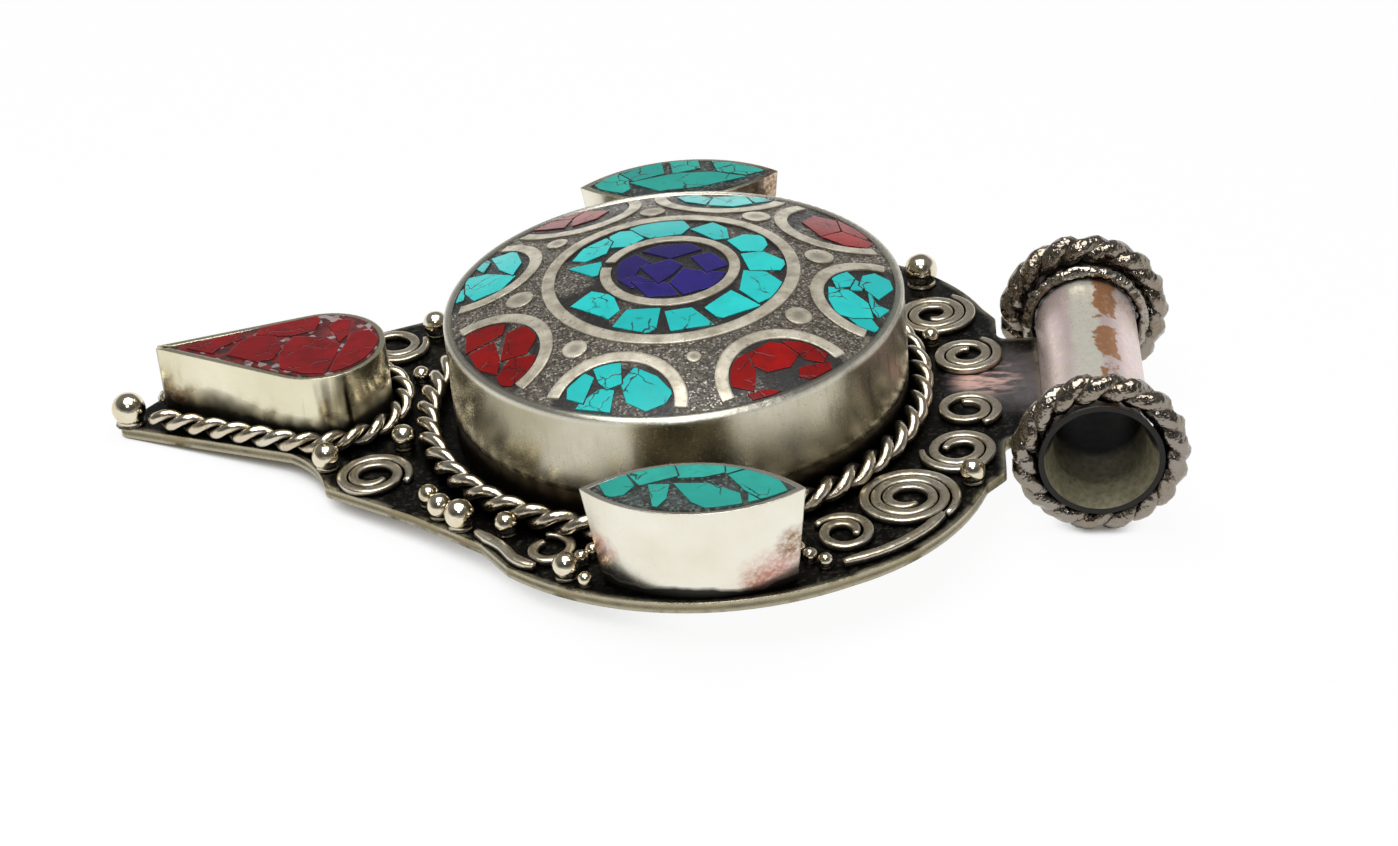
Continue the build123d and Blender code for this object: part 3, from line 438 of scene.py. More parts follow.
def inlay_wire_metal(name, dots):
    """Wire ground flush with the stones: grey patches, dark edges, hollow middles in the dots."""
    s = Shader(name)
    patch = s.noise(0.7, 4.0, 0.6)
    pits = s.noise(3.4, 3.0, 0.6)
    colour = s.mix(s.span(patch, 0.38, 0.66), srgb(238, 230, 210), srgb(184, 175, 154))
    colour = s.mix(s.span(pits, 0.6, 0.74, 0.0, 0.75), colour, srgb(84, 78, 66))
    for x, y, radius in dots:
        middle = s.span(s.off_axis(x, y), radius * 0.3 * MM, radius * 0.75 * MM, 0.55, 0.0)
        colour = s.mix(middle, colour, srgb(112, 104, 90))
    edge = s.hollow(0.3, 0.55, 0.9)
    colour = s.mix(s.math("MULTIPLY", edge, 0.8), colour, srgb(44, 40, 34))
    s.set(Base_Color=colour, Metallic=0.6, Roughness=s.span(pits, 0.3, 0.7, 0.3, 0.44))
    s.set(Normal=s.relief(s.math("ADD", patch, s.math("MULTIPLY", pits, 0.4)), 0.03, 0.6, 0.22))
    return s.material


def ground_mastic(name, pale, dark, sparkle, patches, grains, settings=(), bare=()):
    """Mastic with so many patches and so many filings in a millimetre.

    It is black inside the settings, except where it lies bare, both given as places and radii in plan.
    """
    s = Shader(name)
    grit = s.add("ShaderNodeSeparateColor", {0: s.cells(grains, output="Color")}).outputs[0]
    mottle = s.noise(patches, 5.0, 0.7)
    colour = s.mix(s.span(mottle, 0.4, 0.62), dark, pale)
    colour = s.mix(s.span(grit, 0.82, 0.92, 0.0, 0.9), colour, sparkle)
    colour = s.mix(s.span(grit, 0.3, 0.18, 0.0, 0.8), colour, srgb(38, 34, 30))
    inside = 0.0
    for x, y, radius in settings:
        ends = ((radius - SETTING_EDGE) * MM, (radius + SETTING_EDGE) * MM)
        inside = s.math("MAXIMUM", inside, s.span(s.off_axis(x, y), *ends, 1.0, 0.0))
    for x, y, radius in bare:
        inside = s.math("MULTIPLY", inside, s.span(s.off_axis(x, y), radius * 0.5 * MM, radius * MM))
    patchy = s.math("MULTIPLY", inside, s.span(s.noise(0.28, 2.0), 0.36, 0.46, 0.3, 1.0))
    colour = s.mix(s.math("MULTIPLY", patchy, 0.94), colour, srgb(24, 22, 22))
    s.set(Base_Color=colour, Roughness=s.span(grit, 0.2, 0.9, 0.5, 0.25),
          Metallic=s.math("MULTIPLY", s.span(grit, 0.84, 0.9, 0.0, 0.5), s.math("SUBTRACT", 1.0, patchy)))
    s.set(Normal=s.relief(s.math("ADD", grit, mottle), 0.05, 0.7))
    return s.material


def turquoise_stone(name, bright, deep, vein_share):
    """Polished turquoise chips with dark veins, each chip a little different."""
    s = Shader(name)
    mottle = s.noise(0.6, 4.0, 0.55)
    colour = s.mix(s.island(), bright, deep)
    colour = s.mix(s.span(mottle, 0.42, 0.72, 0.0, 0.5), colour, darker(deep, 0.75, 0.82, 0.85))
    crack = s.cells(0.55, "DISTANCE_TO_EDGE", s.moved(0.9, 1.0))
    where = s.span(s.noise(0.35, 2.0), 0.6 - vein_share, 0.68 - vein_share)
    vein = s.math("MULTIPLY", s.span(crack, 0.012, 0.04, 1.0, 0.0), where)
    fleck = s.math("MULTIPLY", s.span(s.noise(2.4, 4.0, 0.65), 0.64, 0.72), where)
    vein = s.math("MAXIMUM", vein, fleck)
    edge = s.hollow(0.3, 0.5, 0.85)
    colour = s.mix(s.math("MULTIPLY", edge, 0.45), colour, srgb(14, 70, 74))
    colour = s.mix(s.math("MULTIPLY", vein, 0.88), colour, srgb(30, 44, 42))
    s.set(Base_Color=colour, Roughness=s.span(mottle, 0.3, 0.7, 0.16, 0.26), Specular_IOR_Level=0.45)
    s.set(Normal=s.relief(s.math("SUBTRACT", s.math("MULTIPLY", mottle, 0.5), vein), 0.03, 0.6, 0.08))
    return s.material


def coral_stone(name, bright, deep):
    """Polished dark red coral, brighter in places, with dark cracks."""
    s = Shader(name)
    mottle = s.noise(0.7, 4.0, 0.6)
    colour = s.mix(s.island(), bright, deep)
    colour = s.mix(s.span(mottle, 0.4, 0.72, 0.0, 0.8), colour, darker(deep, 0.55, 0.6, 0.7))
    crack = s.cells(0.5, "DISTANCE_TO_EDGE", s.moved(0.8, 0.9))
    dark_line = s.math("MULTIPLY", s.span(crack, 0.01, 0.03, 1.0, 0.0), s.span(mottle, 0.45, 0.6))
    colour = s.mix(s.math("MULTIPLY", dark_line, 0.8), colour, srgb(40, 8, 10))
    edge = s.hollow(0.3, 0.5, 0.85)
    colour = s.mix(s.math("MULTIPLY", edge, 0.5), colour, srgb(48, 8, 10))
    s.set(Base_Color=colour, Roughness=s.span(mottle, 0.3, 0.7, 0.12, 0.24), Specular_IOR_Level=0.36)
    s.set(Normal=s.relief(s.math("SUBTRACT", mottle, dark_line), 0.03, 0.5, 0.08))
    return s.material


def lapis_stone(name):
    """Polished lapis, deep blue with a few brassy flecks."""
    s = Shader(name)
    mottle = s.noise(0.9, 4.0, 0.6)
    colour = s.mix(s.island(), srgb(45, 35, 120), srgb(33, 25, 96))
    colour = s.mix(s.span(mottle, 0.45, 0.72, 0.0, 0.7), colour, srgb(22, 16, 74))
    fleck = s.span(s.noise(4.5, 2.0, 0.6), 0.74, 0.8)
    colour = s.mix(s.math("MULTIPLY", fleck, 0.5), colour, srgb(140, 130, 110))
    s.set(Base_Color=colour, Roughness=s.span(mottle, 0.3, 0.7, 0.14, 0.24), Specular_IOR_Level=0.45)
    s.set(Normal=s.relief(mottle, 0.02, 0.5, 0.08))
    return s.material


def plate_metal(name):
    """Plate: black on top with pale worn specks that are also painted glints, worn pale at its rim, brassy at
    its side with painted shade low down, pink where the tube was soldered.
    """
    s = Shader(name)
    blotch = s.noise(0.35, 5.0, 0.6)
    fine = s.noise(3.0, 5.0, 0.65)
    side = s.mix(s.span(blotch, 0.35, 0.7), srgb(150, 138, 106), srgb(78, 70, 54))
    # Darker low on the side: painted shade.
    side = s.mix(s.span(s.axes()[2], 0.0, PLATE_SIDE_SHADE * MM, 0.85, 0.0), side, srgb(44, 40, 32))
    flat = s.normal()
    back = s.mix(s.span(fine, 0.35, 0.65), srgb(206, 200, 182), srgb(160, 152, 130))
    side = s.mix(s.span(s.axes(flat)[2], -0.5, -0.8), side, back)
    # Pale worn specks on the black top: wear, and painted glints as well.
    worn = s.mix(s.span(fine, 0.52, 0.72, 0.0, 0.7), srgb(22, 22, 23), srgb(124, 119, 108))
    hollow = s.hollow(1.6, 0.35, 0.85)
    top = s.mix(s.math("MULTIPLY", hollow, 0.92), worn, srgb(12, 11, 11))
    up = s.faces_up()
    colour = s.mix(up, side, top)
    strokes = s.noise(0.9, 4.0, 0.6, s.stretched(0.5, 2.0, 1.0))
    film = s.math("MULTIPLY", s.near(*SOLDER_FILM), up)
    film = s.math("MULTIPLY", film, s.span(blotch, 0.3, 0.6, 0.35, 0.85))
    colour = s.mix(film, colour, srgb(176, 169, 170))
    pink = s.math("MULTIPLY", s.near(*SOLDER_PINK), s.span(strokes, 0.42, 0.55))
    colour = s.mix(s.math("MULTIPLY", pink, up), colour, srgb(232, 190, 178))
    level = s.vector("DOT_PRODUCT", flat, s.rounded(PLATE_RIM, 6), "Value")
    rim = s.math("MULTIPLY", s.span(level, 0.99, 0.86), s.span(blotch, 0.36, 0.5))
    colour = s.mix(s.math("MULTIPLY", rim, 0.9), colour, srgb(206, 198, 172))
    s.set(Base_Color=colour, Metallic=s.span(pink, 0.0, 1.0, 1.0, 0.4),
          Roughness=s.math("ADD", s.span(fine, 0.3, 0.7, 0.22, 0.36), s.math("MULTIPLY", up, 0.06)))
    s.set(Normal=s.relief(s.math("ADD", s.math("MULTIPLY", fine, 0.5), blotch), 0.1, 0.6, 0.15))
    return s.material


def tube_sheet(name):
    """Hanging tube: pink with a cream stripe of painted highlight and a burnt stripe outside, olive inside
    with painted shade that turns it black.
    """
    s = Shader(name)
    x, y, z = s.axes(s.moved(*STRIPE_EDGE))
    out_x = s.math("SUBTRACT", x, TUBE_X * MM)
    out_z = s.math("SUBTRACT", z, TUBE_Z * MM)
    angle = s.math("ARCTAN2", out_z, out_x)
    fine = s.noise(2.2, 5.0, 0.65)
    patch = s.noise(0.42, 3.0, 0.55)
    pink = s.mix(s.span(fine, 0.35, 0.65), srgb(240, 214, 206), srgb(226, 210, 212))
    pink = s.mix(s.span(patch, 0.45, 0.65, 0.0, 0.7), pink, srgb(222, 206, 190))
    # Cream stripe along the top: painted highlight.
    colour = s.mix(s.stripe(angle, *HIGHLIGHT_STRIPE), pink, srgb(248, 243, 228))
    ragged = s.math("ADD", patch, s.math("MULTIPLY", fine, 0.3))
    burnt_side = s.math("MULTIPLY", s.stripe(angle, *BURNT_STRIPE), 0.35)
    burnt = s.span(s.math("ADD", ragged, burnt_side), 0.92, 0.97)
    colour = s.mix(s.math("MULTIPLY", burnt, s.span(fine, 0.3, 0.5, 0.6, 0.95)), colour, srgb(186, 128, 80))
    grime = s.hollow(1.2, 0.2, 0.65)
    colour = s.mix(s.math("MULTIPLY", grime, 0.9), colour, srgb(50, 44, 38))
    outward = s.add("ShaderNodeCombineXYZ", {0: out_x, 2: out_z}).outputs[0]
    normal = s.normal()
    facing = s.vector("DOT_PRODUCT", normal, outward, "Value")
    inside = s.span(facing, TUBE_FACING * MM, -TUBE_FACING * MM)
    # Black deep inside and under the roof of the tube: painted shade over the olive metal.
    deep = s.span(s.math("ABSOLUTE", y), TUBE_DEEP_SHADE[0] * MM, TUBE_DEEP_SHADE[1] * MM)
    roof_shade = s.span(out_z, TUBE_ROOF_SHADE[0] * MM, TUBE_ROOF_SHADE[1] * MM)
    dull_and_shade = s.mix(s.span(fine, 0.35, 0.7), srgb(158, 152, 124), srgb(112, 106, 82))
    dull_and_shade = s.mix(s.math("MAXIMUM", deep, roof_shade), dull_and_shade, srgb(18, 14, 12))
    colour = s.mix(inside, colour, dull_and_shade)
    lip = s.span(s.math("ABSOLUTE", s.axes(normal)[1]), 0.5, 0.8)
    colour = s.mix(lip, colour, srgb(30, 28, 25))
    s.set(Base_Color=colour, Metallic=s.span(inside, 0.0, 1.0, 0.65, 0.3),
          Roughness=s.math("ADD", s.span(fine, 0.3, 0.7, 0.24, 0.38), s.math("MULTIPLY", inside, 0.2)))
    s.set(Normal=s.relief(s.math("ADD", patch, s.math("MULTIPLY", fine, 0.3)), 0.05, 0.5, 0.12))
    return s.material


# Mesh building


def piece(name, verts, faces, material, body, replaced):
    """A smooth mesh from points in millimetres that rides on a body and stands for model nodes."""
    mesh = bpy.data.meshes.new(name)
    mesh.from_pydata([tuple(float(c) * MM for c in v) for v in verts], [], faces)
    shape = bmesh.new()
    shape.from_mesh(mesh)
    bmesh.ops.recalc_face_normals(shape, faces=shape.faces)
    shape.to_mesh(mesh)
    shape.free()
    mesh.polygons.foreach_set("use_smooth", [True] * len(mesh.polygons))
    mesh.materials.append(material)
    made = bpy.data.objects.new(name, mesh)
    bpy.context.scene.collection.objects.link(made)
    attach(made, body)
    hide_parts(*replaced)


class Mesh:
    """Points and faces gathered from several tubes and balls."""

    def __init__(self):
        self.verts = []
        self.faces = []

    def rings(self, rings, closed):
        """A skin over rings of points, closed on itself or capped at both ends."""
        start = len(self.verts)
        count, sides = rings.shape[:2]
        self.verts.extend(rings.reshape(-1, 3))
        for i in range(count if closed else count - 1):
            here = start + i * sides
            there = start + (i + 1) % count * sides
            for j in range(sides):
                k = (j + 1) % sides
                self.faces.append((here + j, here + k, there + k, there + j))
        if not closed:
            self.faces.append(tuple(range(start + sides - 1, start - 1, -1)))
            last = start + (count - 1) * sides
            self.faces.append(tuple(range(last, last + sides)))

    def ball(self, x, y, radius, seed):
        """A ball on the plate, a little uneven, with solder run in round its foot."""
        radius = radius * SOLDERED
        shift = Vector((seed * SEED_SHIFT[0], seed * SEED_SHIFT[1], 0))
        shape = bmesh.new()
        bmesh.ops.create_icosphere(shape, subdivisions=BALL_FINENESS, radius=1.0)
        start = len(self.verts)
        for vert in shape.verts:
            way = vert.co.normalized()
            uneven = 1 + BALL_WEAR * noise.noise(way * BALL_LUMPS + shift)
            reach = radius * min(uneven, 1.0)
            height = max(way.z * reach + radius - BALL_SINK, 0.0)
            flat = way.xy * reach
            foot = 1 - min(height / (FOOT_H * radius), 1.0)
            least = radius * (FOOT_IN + FOOT_OUT * foot * foot)
            if height > 0 and foot > 0 and 0 < flat.length < least:
                flat = flat * (least / flat.length)
            self.verts.append((x + flat.x, y + flat.y, TOP + height))
        for face in shape.faces:
            self.faces.append(tuple(start + v.index for v in face.verts))
        shape.free()

    def move_to_tube(self, y):
        """Turns a ring about Z into a ring about the tube at a place along it."""
        self.verts = [(TUBE_X + v[0], y - v[2], TUBE_Z + v[1]) for v in self.verts]

    def ornament(self, name, material, node):
        """The gathered mesh as a piece on the case that stands for a node."""
        piece(name, self.verts, self.faces, material, "case", [node])


def unit(vectors):
    return vectors / np.linalg.norm(vectors, axis=1, keepdims=True)


def upright(count):
    return np.tile((0.0, 0.0, 1.0), (count, 1))


def turns_about_z(count, rounds=1):
    """Angles at even steps about Z, and the direction outward at each."""
    a = np.arange(count) * 2 * pi * rounds / count
    return a, np.stack([np.cos(a), np.sin(a), np.zeros(count)], axis=1)


def left_of(path):
    """The level direction to the left at each point of a flat path."""
    along = unit(np.gradient(path, axis=0))
    return np.stack([-along[:, 1], along[:, 0], np.zeros(len(path))], axis=1)


def lumpy(centre, out, across, radius, wear, per_mm):
    """Rings of points about the centres, sunk in by up to wear of their radius."""
    around = np.arange(STRAND_SIDES) * 2 * pi / STRAND_SIDES
    circle = out[:, None] * np.cos(around)[None, :, None] + across[:, None] * np.sin(around)[None, :, None]
    points = centre[:, None] + circle * radius
    sunk = np.array([1 - wear * abs(noise.noise(Vector(p) * per_mm)) for p in points.reshape(-1, 3)])
    return centre[:, None] + circle * radius * sunk.reshape(*circle.shape[:2], 1)


def strand(path, side, turn, rope_r, melt, wear, closed):
    """Rings of one round strand that winds about a path. melt draws the strands into each other."""
    lift = side * np.cos(turn)[:, None] + upright(len(path)) * np.sin(turn)[:, None]
    centre = path + lift * (rope_r * (0.5 - melt))
    if closed:
        ahead = unit(np.roll(centre, -1, axis=0) - np.roll(centre, 1, axis=0))
    else:
        ahead = unit(np.gradient(centre, axis=0))
    out = unit(lift - ahead * np.sum(lift * ahead, axis=1, keepdims=True))
    return lumpy(centre, out, np.cross(ahead, out), rope_r * (0.5 + melt), wear, STRAND_LUMPS)


def rope_ring(radius, rope_r, lobes, melt=0.0, wear=STRAND_WEAR):
    """A closed ring of two twisted strands about Z at the origin.

    With an odd number of lobes it is one strand that goes round twice.
    """
    mesh = Mesh()
    rounds, phases = (2, (0.0,)) if lobes % 2 else (1, (0.0, pi))
    a, side = turns_about_z(lobes * STEPS_PER_LOBE * rounds, rounds)
    for phase in phases:
        mesh.rings(strand(side * radius, side, a * lobes / 2 + phase, rope_r, melt, wear, True), True)
    return mesh


def rope_along(path, rope_r, lobes):
    """A length of two twisted strands along a flat path with even steps."""
    mesh = Mesh()
    turn = np.linspace(0, -pi * lobes, len(path))
    for phase in (0.0, pi):
        mesh.rings(strand(path, left_of(path), turn + phase, rope_r, 0.0, STRAND_WEAR, False), False)
    return mesh


def plain_ring(radius, wire_r):
    """A closed ring of one worn round wire about Z at the origin."""
    mesh = Mesh()
    out = turns_about_z(RING_STEPS)[1]
    mesh.rings(lumpy(out * radius, out, upright(RING_STEPS), wire_r, TUBE_WIRE_WEAR, TUBE_WIRE_LUMPS), True)
    return mesh


def even(points, count):
    """Points at even steps along a line."""
    points = np.array(points, float)
    gaps = np.linalg.norm(np.diff(points, axis=0), axis=1)
    reach = np.concatenate([[0], np.cumsum(gaps)])
    at = np.linspace(0, reach[-1], count)
    return np.stack([np.interp(at, reach, points[:, k]) for k in range(3)], axis=1)


def tear_rope_line():
    """Wire round the teardrop: straight from the tail ball, round the end and back along the far side."""
    round_r = TEAR_R + TEAR_ROPE_R + SEAT_GAP
    reach = TEAR_L * round_r / TEAR_R
    toward = radians(180 - TEAR_TURN)
    tip = np.array((reach * cos(toward), reach * sin(toward)))
    tail = np.array(TAIL_BALL) - (TEAR_X, TEAR_Y)
    near_turn = atan2(tail[1], tail[0]) + acos(round_r / hypot(*tail))
    far_turn = toward - acos(TEAR_R / TEAR_L) + 2 * pi
    turns = np.linspace(near_turn, far_turn, TEAR_ROUND_STEPS)
    line = [round_r * np.array((cos(t), sin(t))) for t in turns]
    end_gap = TAIL_BALL_R + TEAR_ROPE_R + TIP_GAP
    near_end = tail + (line[0] - tail) * end_gap / np.linalg.norm(line[0] - tail)
    far_end = tip + (line[-1] - tip) * end_gap / np.linalg.norm(line[-1] - tip)
    return [(TEAR_X + p[0], TEAR_Y + p[1], TOP + TEAR_ROPE_R) for p in (near_end, *line, far_end)]


def flat_wire(path, width, height):
    """Wire with a crowned top that lies flat on the plate along a path."""
    half = [(u * width / 2, v) for u, v in FLAT_SECTION]
    section = [*((-u, v) for u, v in half), (0.0, 1.0), *reversed(half)]
    side = left_of(path)
    count = len(path)
    rings = np.zeros((count, len(section), 3))
    for i in range(count):
        slim = min(1.0, FLAT_END + (1 - FLAT_END) * min(i, count - 1 - i) / FLAT_END_STEPS)
        worn = 1 - FLAT_WIRE_WEAR * abs(noise.noise(Vector(path[i]) * FLAT_WIRE_LUMPS))
        for j, (u, v) in enumerate(section):
            rings[i, j] = path[i] + side[i] * u * slim + np.array((0, 0, v * height * worn))
    mesh = Mesh()
    mesh.rings(rings, False)
    return mesh


def scroll_path(x, y, radius, start, hand):
    """Half circles that wind inward, as in the model."""
    r = radius - SCROLL_W / 2
    halves = 1 + int((r - SCROLL_EYE) / (SCROLL_PITCH / 2))
    a = radians(start)
    points = []
    for _ in range(halves):
        for step in range(STEPS_PER_HALF):
            t = a + hand * pi * step / STEPS_PER_HALF
            points.append((x + r * cos(t), y + r * sin(t), TOP))
        a += hand * pi
        x += cos(a) * SCROLL_PITCH / 2
        y += sin(a) * SCROLL_PITCH / 2
        r -= SCROLL_PITCH / 2
    return np.array(points)


def smooth_path(points):
    """A smooth line through points."""
    points = [np.array((*p, TOP)) for p in points]
    points = [2 * points[0] - points[1], *points, 2 * points[-1] - points[-2]]
    made = []
    for before, a, b, after in zip(points, points[1:], points[2:], points[3:]):
        for step in range(STEPS_PER_GAP):
            t = step / STEPS_PER_GAP
            made.append(0.5 * (2 * a + (b - before) * t + (2 * before - 5 * a + 4 * b - after) * t * t
                               + (3 * a - before - 3 * b + after) * t ** 3))
    made.append(points[-2])
    return np.array(made)


# Stage


def floor_white():
    """White to the camera and in reflections, darker close under the pendant, clear from below."""
    s = Shader("floor_white")
    paper = s.add("ShaderNodeBsdfDiffuse", {"Color": srgb(244, 244, 244)})
    shade = s.hollow(SHADE_REACH, *SHADE_FADE, SHADE_SAMPLES)
    glow = s.mix(shade, (1, 1, 1, 1), srgb(84, 78, 62))
    white = s.add("ShaderNodeEmission", {"Color": glow, "Strength": 1.0})
    path = s.add("ShaderNodeLightPath")
    seen = s.math("MAXIMUM", path.outputs["Is Camera Ray"], path.outputs["Is Glossy Ray"])
    seen = s.math("MAXIMUM", seen, path.outputs["Is Transmission Ray"])
    share = s.math("MULTIPLY", seen, FLOOR_GLOW)
    lit = s.add("ShaderNodeMixShader", {0: share, 1: paper.outputs[0], 2: white.outputs[0]})
    clear = s.add("ShaderNodeBsdfTransparent")
    under = s.add("ShaderNodeNewGeometry").outputs["Backfacing"]
    under = s.math("MULTIPLY", under, path.outputs["Is Camera Ray"])
    both = s.add("ShaderNodeMixShader", {0: under, 1: lit.outputs[0], 2: clear.outputs[0]})
    s.tree.links.new(both.outputs[0], s.tree.nodes["Material Output"].inputs["Surface"])
    return s.material


def lay_floor():
    """A wide plane through the places under the collars and under the tail."""
    slope = (FLOOR_HIGH[1] - FLOOR_LOW[1]) / (FLOOR_HIGH[0] - FLOOR_LOW[0])
    corners = []
    for x, y in ((-1, -1), (1, -1), (1, 1), (-1, 1)):
        rise = (x * FLOOR_HALF - FLOOR_LOW[0]) * slope
        corners.append((x * FLOOR_HALF * MM, y * FLOOR_HALF * MM, (FLOOR_LOW[1] + rise) * MM))
    mesh = bpy.data.meshes.new("floor")
    mesh.from_pydata(corners, [], [(0, 1, 2, 3)])
    floor = bpy.data.objects.new("floor", mesh)
    bpy.context.scene.collection.objects.link(floor)
    mesh.materials.append(floor_white())


def light_room():
    """A pale room, brighter towards the horizon and darker behind the camera."""
    world = bpy.data.worlds.new("room")
    bpy.context.scene.world = world
    world.use_nodes = True
    tree = world.node_tree
    way = tree.nodes.new("ShaderNodeTexCoord")
    split = tree.nodes.new("ShaderNodeSeparateXYZ")
    tree.links.new(way.outputs["Generated"], split.inputs[0])
    both_ways = tree.nodes.new("ShaderNodeMath")
    both_ways.operation = "MULTIPLY"
    fades = (("Z", (*ROOM_RISE, ROOM_LOW, ROOM_HIGH)), ("Y", (*ROOM_DEPTH, ROOM_FRONT, 1.0)))
    for (axis, ends), socket in zip(fades, both_ways.inputs):
        fade = tree.nodes.new("ShaderNodeMapRange")
        for key, value in zip(("From Min", "From Max", "To Min", "To Max"), ends):
            fade.inputs[key].default_value = value
        tree.links.new(split.outputs[axis], fade.inputs["Value"])
        tree.links.new(fade.outputs[0], socket)
    tree.links.new(both_ways.outputs[0], tree.nodes["Background"].inputs["Strength"])
    tree.nodes["Background"].inputs["Color"].default_value = (1, 1, 1, 1)


def lamp(name, place, size, power):
    """A square soft lamp that faces the pendant."""
    data = bpy.data.lights.new(name, "AREA")
    data.shape = "SQUARE"
    data.size = size * MM
    data.energy = power
    made = bpy.data.objects.new(name, data)
    made.location = Vector(place) * MM
    made.rotation_euler = (-made.location).to_track_quat("-Z", "Y").to_euler()
    bpy.context.scene.collection.objects.link(made)


def aim_camera():
    """The camera at the photograph's viewing angle."""
    azimuth, elevation, roll = (radians(turn) for turn in (CAM_AZIMUTH, CAM_ELEVATION, CAM_ROLL))
    back = Vector((sin(azimuth) * cos(elevation), -cos(azimuth) * cos(elevation), sin(elevation)))
    level = Vector((cos(azimuth), sin(azimuth), 0))
    upward = back.cross(level)
    right = level * cos(roll) + upward * sin(roll)
    above = upward * cos(roll) - level * sin(roll)
    data = bpy.data.cameras.new("camera")
    data.lens = CAM_LENS
    data.sensor_width = CAM_SENSOR
    data.clip_start = CAM_CLIP * MM
    camera = bpy.data.objects.new("camera", data)
    place = (Vector(CAM_TARGET) + back * CAM_DISTANCE) * MM
    turned = Matrix((right, above, back)).transposed().to_4x4()
    camera.matrix_world = Matrix.Translation(place) @ turned
    bpy.context.scene.collection.objects.link(camera)
    bpy.context.scene.camera = camera


# Materials

BLACK = srgb(16, 14, 13)
SOOT = srgb(22, 20, 19)
PINK = srgb(206, 160, 150)
BROWN = srgb(142, 100, 66)
RUST = srgb(176, 116, 92)
CREAM = srgb(244, 240, 226)
STRAW = srgb(226, 219, 190)

# Heat stains: place, reach and colour. The tear's dark upright stripes, a painted reflection, are a place and
# a reach.
NEAR_CUP_STAINS = (((7.4, -24.4, 1.8), 3.0, PINK), ((8.6, -23.6, 4.0), 1.7, BROWN),
                   ((6.2, -24.6, 1.2), 2.0, RUST), ((-4.9, -22.6, 3.5), 2.0, PINK))
FAR_CUP_STAINS = (((6.4, 19.6, 7.0), 3.4, BROWN),)
TEAR_STAINS = (((-36.4, 1.6, 2.0), 2.0, BROWN),)
TEAR_REFLECTION_STRIPES = ((-23.0, -2.4, 3.4), 3.6)

dot_places = []
settings = [(0.0, 0.0, OUTER_RING_R - OUTER_RING_W / 2)]
for here, following, size in zip(PETAL_TURNS, PETAL_TURNS[1:] + (PETAL_TURNS[0] + 360,), DOT_SIZES):
    middle = radians((here + following) / 2)
    dot_places.append(((OUTER_RING_R + DOT_OUT) * cos(middle), (OUTER_RING_R + DOT_OUT) * sin(middle), size))
    settings.append((PETAL_AT * cos(radians(here)), PETAL_AT * sin(radians(here)), PETAL_R - PETAL_W / 2))

rope_metal = worn_metal("ornament_metal", srgb(222, 214, 196), BLACK, groove=(0.8, 0.45, 0.85),
                        foot=(0.1, 0.55), rough=0.2, dent=0.05)
scroll_metal = worn_metal("scroll_metal", srgb(220, 213, 196), BLACK, groove=(0.5, 0.2, 0.6),
                          foot=(0.05, 0.34), rough=0.3, dent=0.05)
seam = worn_metal("seam_metal", srgb(70, 64, 54), BLACK, groove=(1.2, 0.4, 0.9),
                  foot=NO_FOOT, rough=0.35, dent=0.04)
collar_metal = worn_metal("collar_metal", srgb(150, 143, 134), SOOT, groove=(0.9, 0.4, 0.85),
                          foot=NO_FOOT, rough=0.14, dent=0.3)
tube_wire_metal = worn_metal("tube_wire_metal", srgb(166, 160, 150), SOOT, groove=(0.6, 0.45, 0.9),
                             foot=NO_FOOT, rough=0.13, dent=0.25)
ball_metal = worn_metal("ball_metal", srgb(232, 224, 202), BLACK, groove=(0.6, 0.2, 0.6),
                        foot=(0.0, 0.3), rough=0.13, dent=0.03)
plate = plate_metal("plate_metal")
drum = lid_metal("drum_metal")
wires = inlay_wire_metal("inlay_wire_metal", dot_places)
near_cup = satin_metal("near_cup_metal", CREAM, srgb(232, 226, 206), NEAR_CUP_STAINS, waves=0.03, foot=0.8)
far_cup = satin_metal("far_cup_metal", CREAM, STRAW, FAR_CUP_STAINS, waves=0.03, foot=1.0)
tear_cup = satin_metal("tear_cup_metal", srgb(240, 234, 208), STRAW, TEAR_STAINS, waves=0.12, foot=2.8,
                       reflection_stripes=TEAR_REFLECTION_STRIPES)
tube_metal = tube_sheet("tube_metal")
mastic = ground_mastic("inlay_ground", srgb(116, 108, 95), srgb(62, 56, 48), srgb(200, 194, 182),
                       patches=2.6, grains=8.0, settings=settings, bare=BARE_PATCHES)
cup_mastic = ground_mastic("cup_ground", srgb(74, 84, 80), srgb(30, 36, 34), srgb(140, 150, 146),
                           patches=0.5, grains=6.0)
matrix = ground_mastic("coral_matrix", srgb(128, 40, 40), srgb(82, 16, 18), srgb(206, 192, 192),
                       patches=0.4, grains=2.0)
turquoise = turquoise_stone("turquoise", srgb(44, 208, 204), srgb(34, 184, 182), vein_share=0.08)
cup_turquoise = turquoise_stone("cup_turquoise", srgb(52, 176, 160), srgb(40, 154, 142), vein_share=0.1)
coral = coral_stone("coral", srgb(168, 20, 16), srgb(132, 15, 14))
tear_coral = coral_stone("tear_coral", srgb(152, 30, 32), srgb(128, 22, 26))
lapis = lapis_stone("lapis")

NODE_LOOKS = {
    "base_plate": plate, "box_wall": drum, "seat_ring": seam, "lid_wall": drum, "lid_tray": drum,
    "inlay_ground": mastic, "inner_ring_wire": wires, "outer_ring_wire": wires, "dot_pins": wires,
    **{f"petal_wire_{number}": wires for number in range(1, len(PETAL_TURNS) + 1)},
    "lapis_chips": lapis, "ring_chips": turquoise, "petal_turquoise_chips": turquoise,
    "petal_coral_chips": coral, "near_cup_wall": near_cup, "near_cup_ground": cup_mastic,
    "near_cup_chips": cup_turquoise, "far_cup_wall": far_cup, "far_cup_ground": cup_mastic,
    "far_cup_chips": cup_turquoise, "tear_wall": tear_cup, "tear_ground": matrix, "tear_chips": tear_coral,
    "bail_tube": tube_metal,
}
for name, look in NODE_LOOKS.items():
    nodes[name].data.materials.clear()
    nodes[name].data.materials.append(look)

# Twisted wires, and the plain wires behind the collars

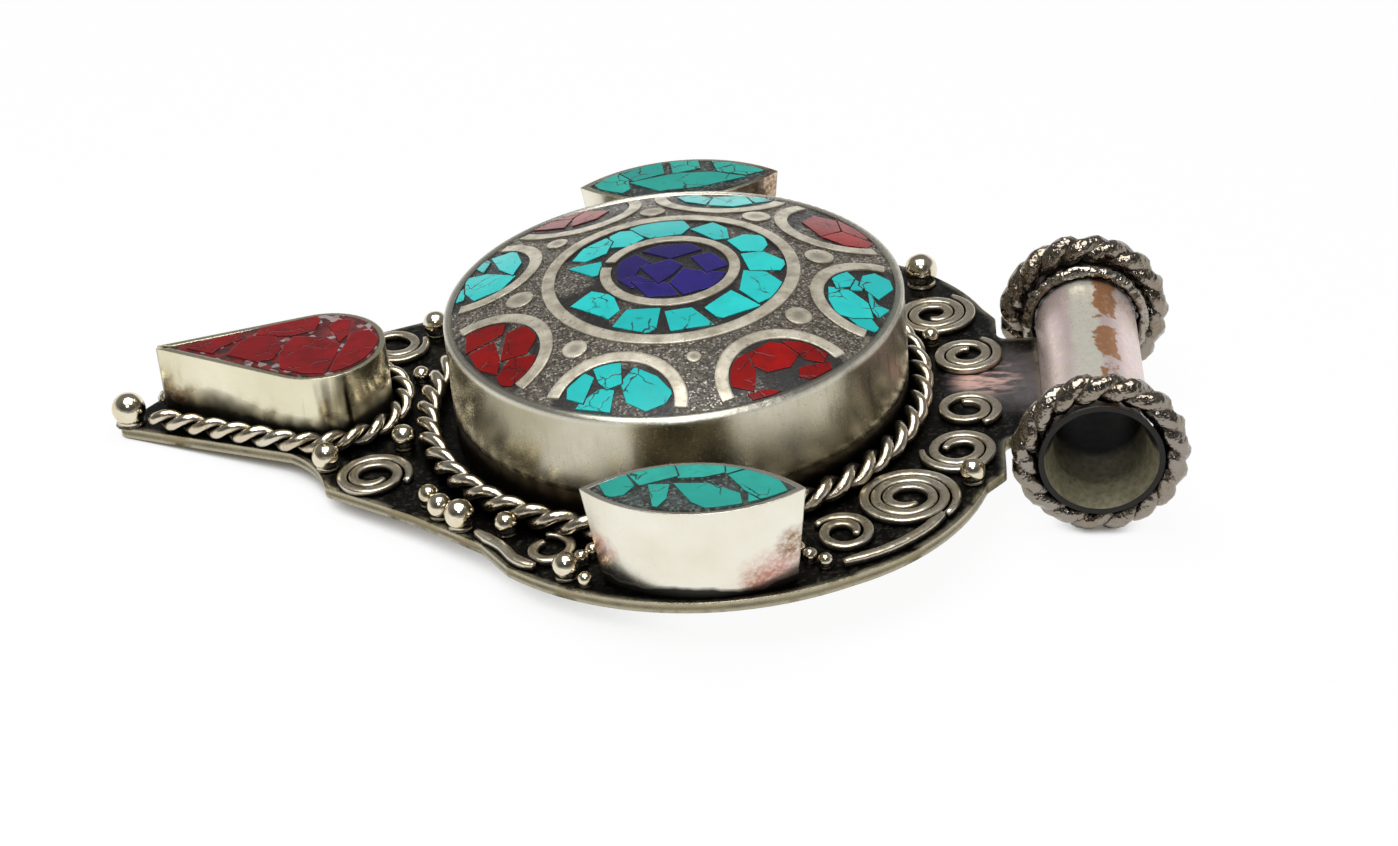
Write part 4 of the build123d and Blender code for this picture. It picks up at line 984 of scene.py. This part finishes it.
box_rope = rope_ring(ROPE_RING_R, ROPE_R, ROPE_LOBES)
box_rope.verts = [v + np.array((ROPE_X, 0, TOP + ROPE_R)) for v in box_rope.verts]
box_rope.ornament("rope_box", rope_metal, "box_rope")
for name, side in (("near", -1), ("far", 1)):
    collar = rope_ring(COLLAR_R, COLLAR_ROPE_R, COLLAR_LOBES, COLLAR_MELT, COLLAR_WEAR)
    collar.move_to_tube(side * COLLAR_Y)
    collar.ornament(f"rope_collar_{name}", collar_metal, f"bail_rope_{name}")
    wire = plain_ring(TUBE_R + TUBE_WIRE_R + SEAT_GAP, TUBE_WIRE_R)
    wire.move_to_tube(side * TUBE_WIRE_Y)
    wire.ornament(f"wire_collar_{name}", tube_wire_metal, f"bail_wire_{name}")
tear_path = even(tear_rope_line(), TEAR_ROPE_LOBES * STEPS_PER_LOBE + 1)
tear_rope = rope_along(tear_path, TEAR_ROPE_R, TEAR_ROPE_LOBES)
tear_rope.ornament("rope_tear", rope_metal, "tear_rope")

# Scrolls, edge wires, balls

for name, place in SCROLLS.items():
    scroll = flat_wire(scroll_path(*place), SCROLL_WORN_W, SCROLL_H)
    scroll.ornament(f"wire_{name}", scroll_metal, name)
for name, (width, points) in EDGE_WIRES.items():
    edge_wire = flat_wire(smooth_path(points), width, EDGE_WIRE_H)
    edge_wire.ornament(f"round_{name}", scroll_metal, name)
balls = Mesh()
for seed, (x, y, size) in enumerate(BALLS):
    balls.ball(x, y, BALL_R * size, seed)
balls.ornament("soldered_balls", ball_metal, "balls")
grains = Mesh()
for seed, (x, y) in enumerate(GRAINS, GRAIN_SEED):
    grains.ball(x, y, GRAIN_R, seed)
grains.ornament("soldered_grains", ball_metal, "grains")
tail_ball = Mesh()
tail_ball.ball(*TAIL_BALL, TAIL_BALL_R, TAIL_SEED)
tail_ball.ornament("soldered_tail_ball", ball_metal, "tail_ball")

# Floor, light and camera

lay_floor()
light_room()
for name, (place, size, power) in LAMPS.items():
    lamp(name, place, size, power)
aim_camera()
bpy.context.scene.view_settings.view_transform = "Standard"

bpy.context.view_layer.update()
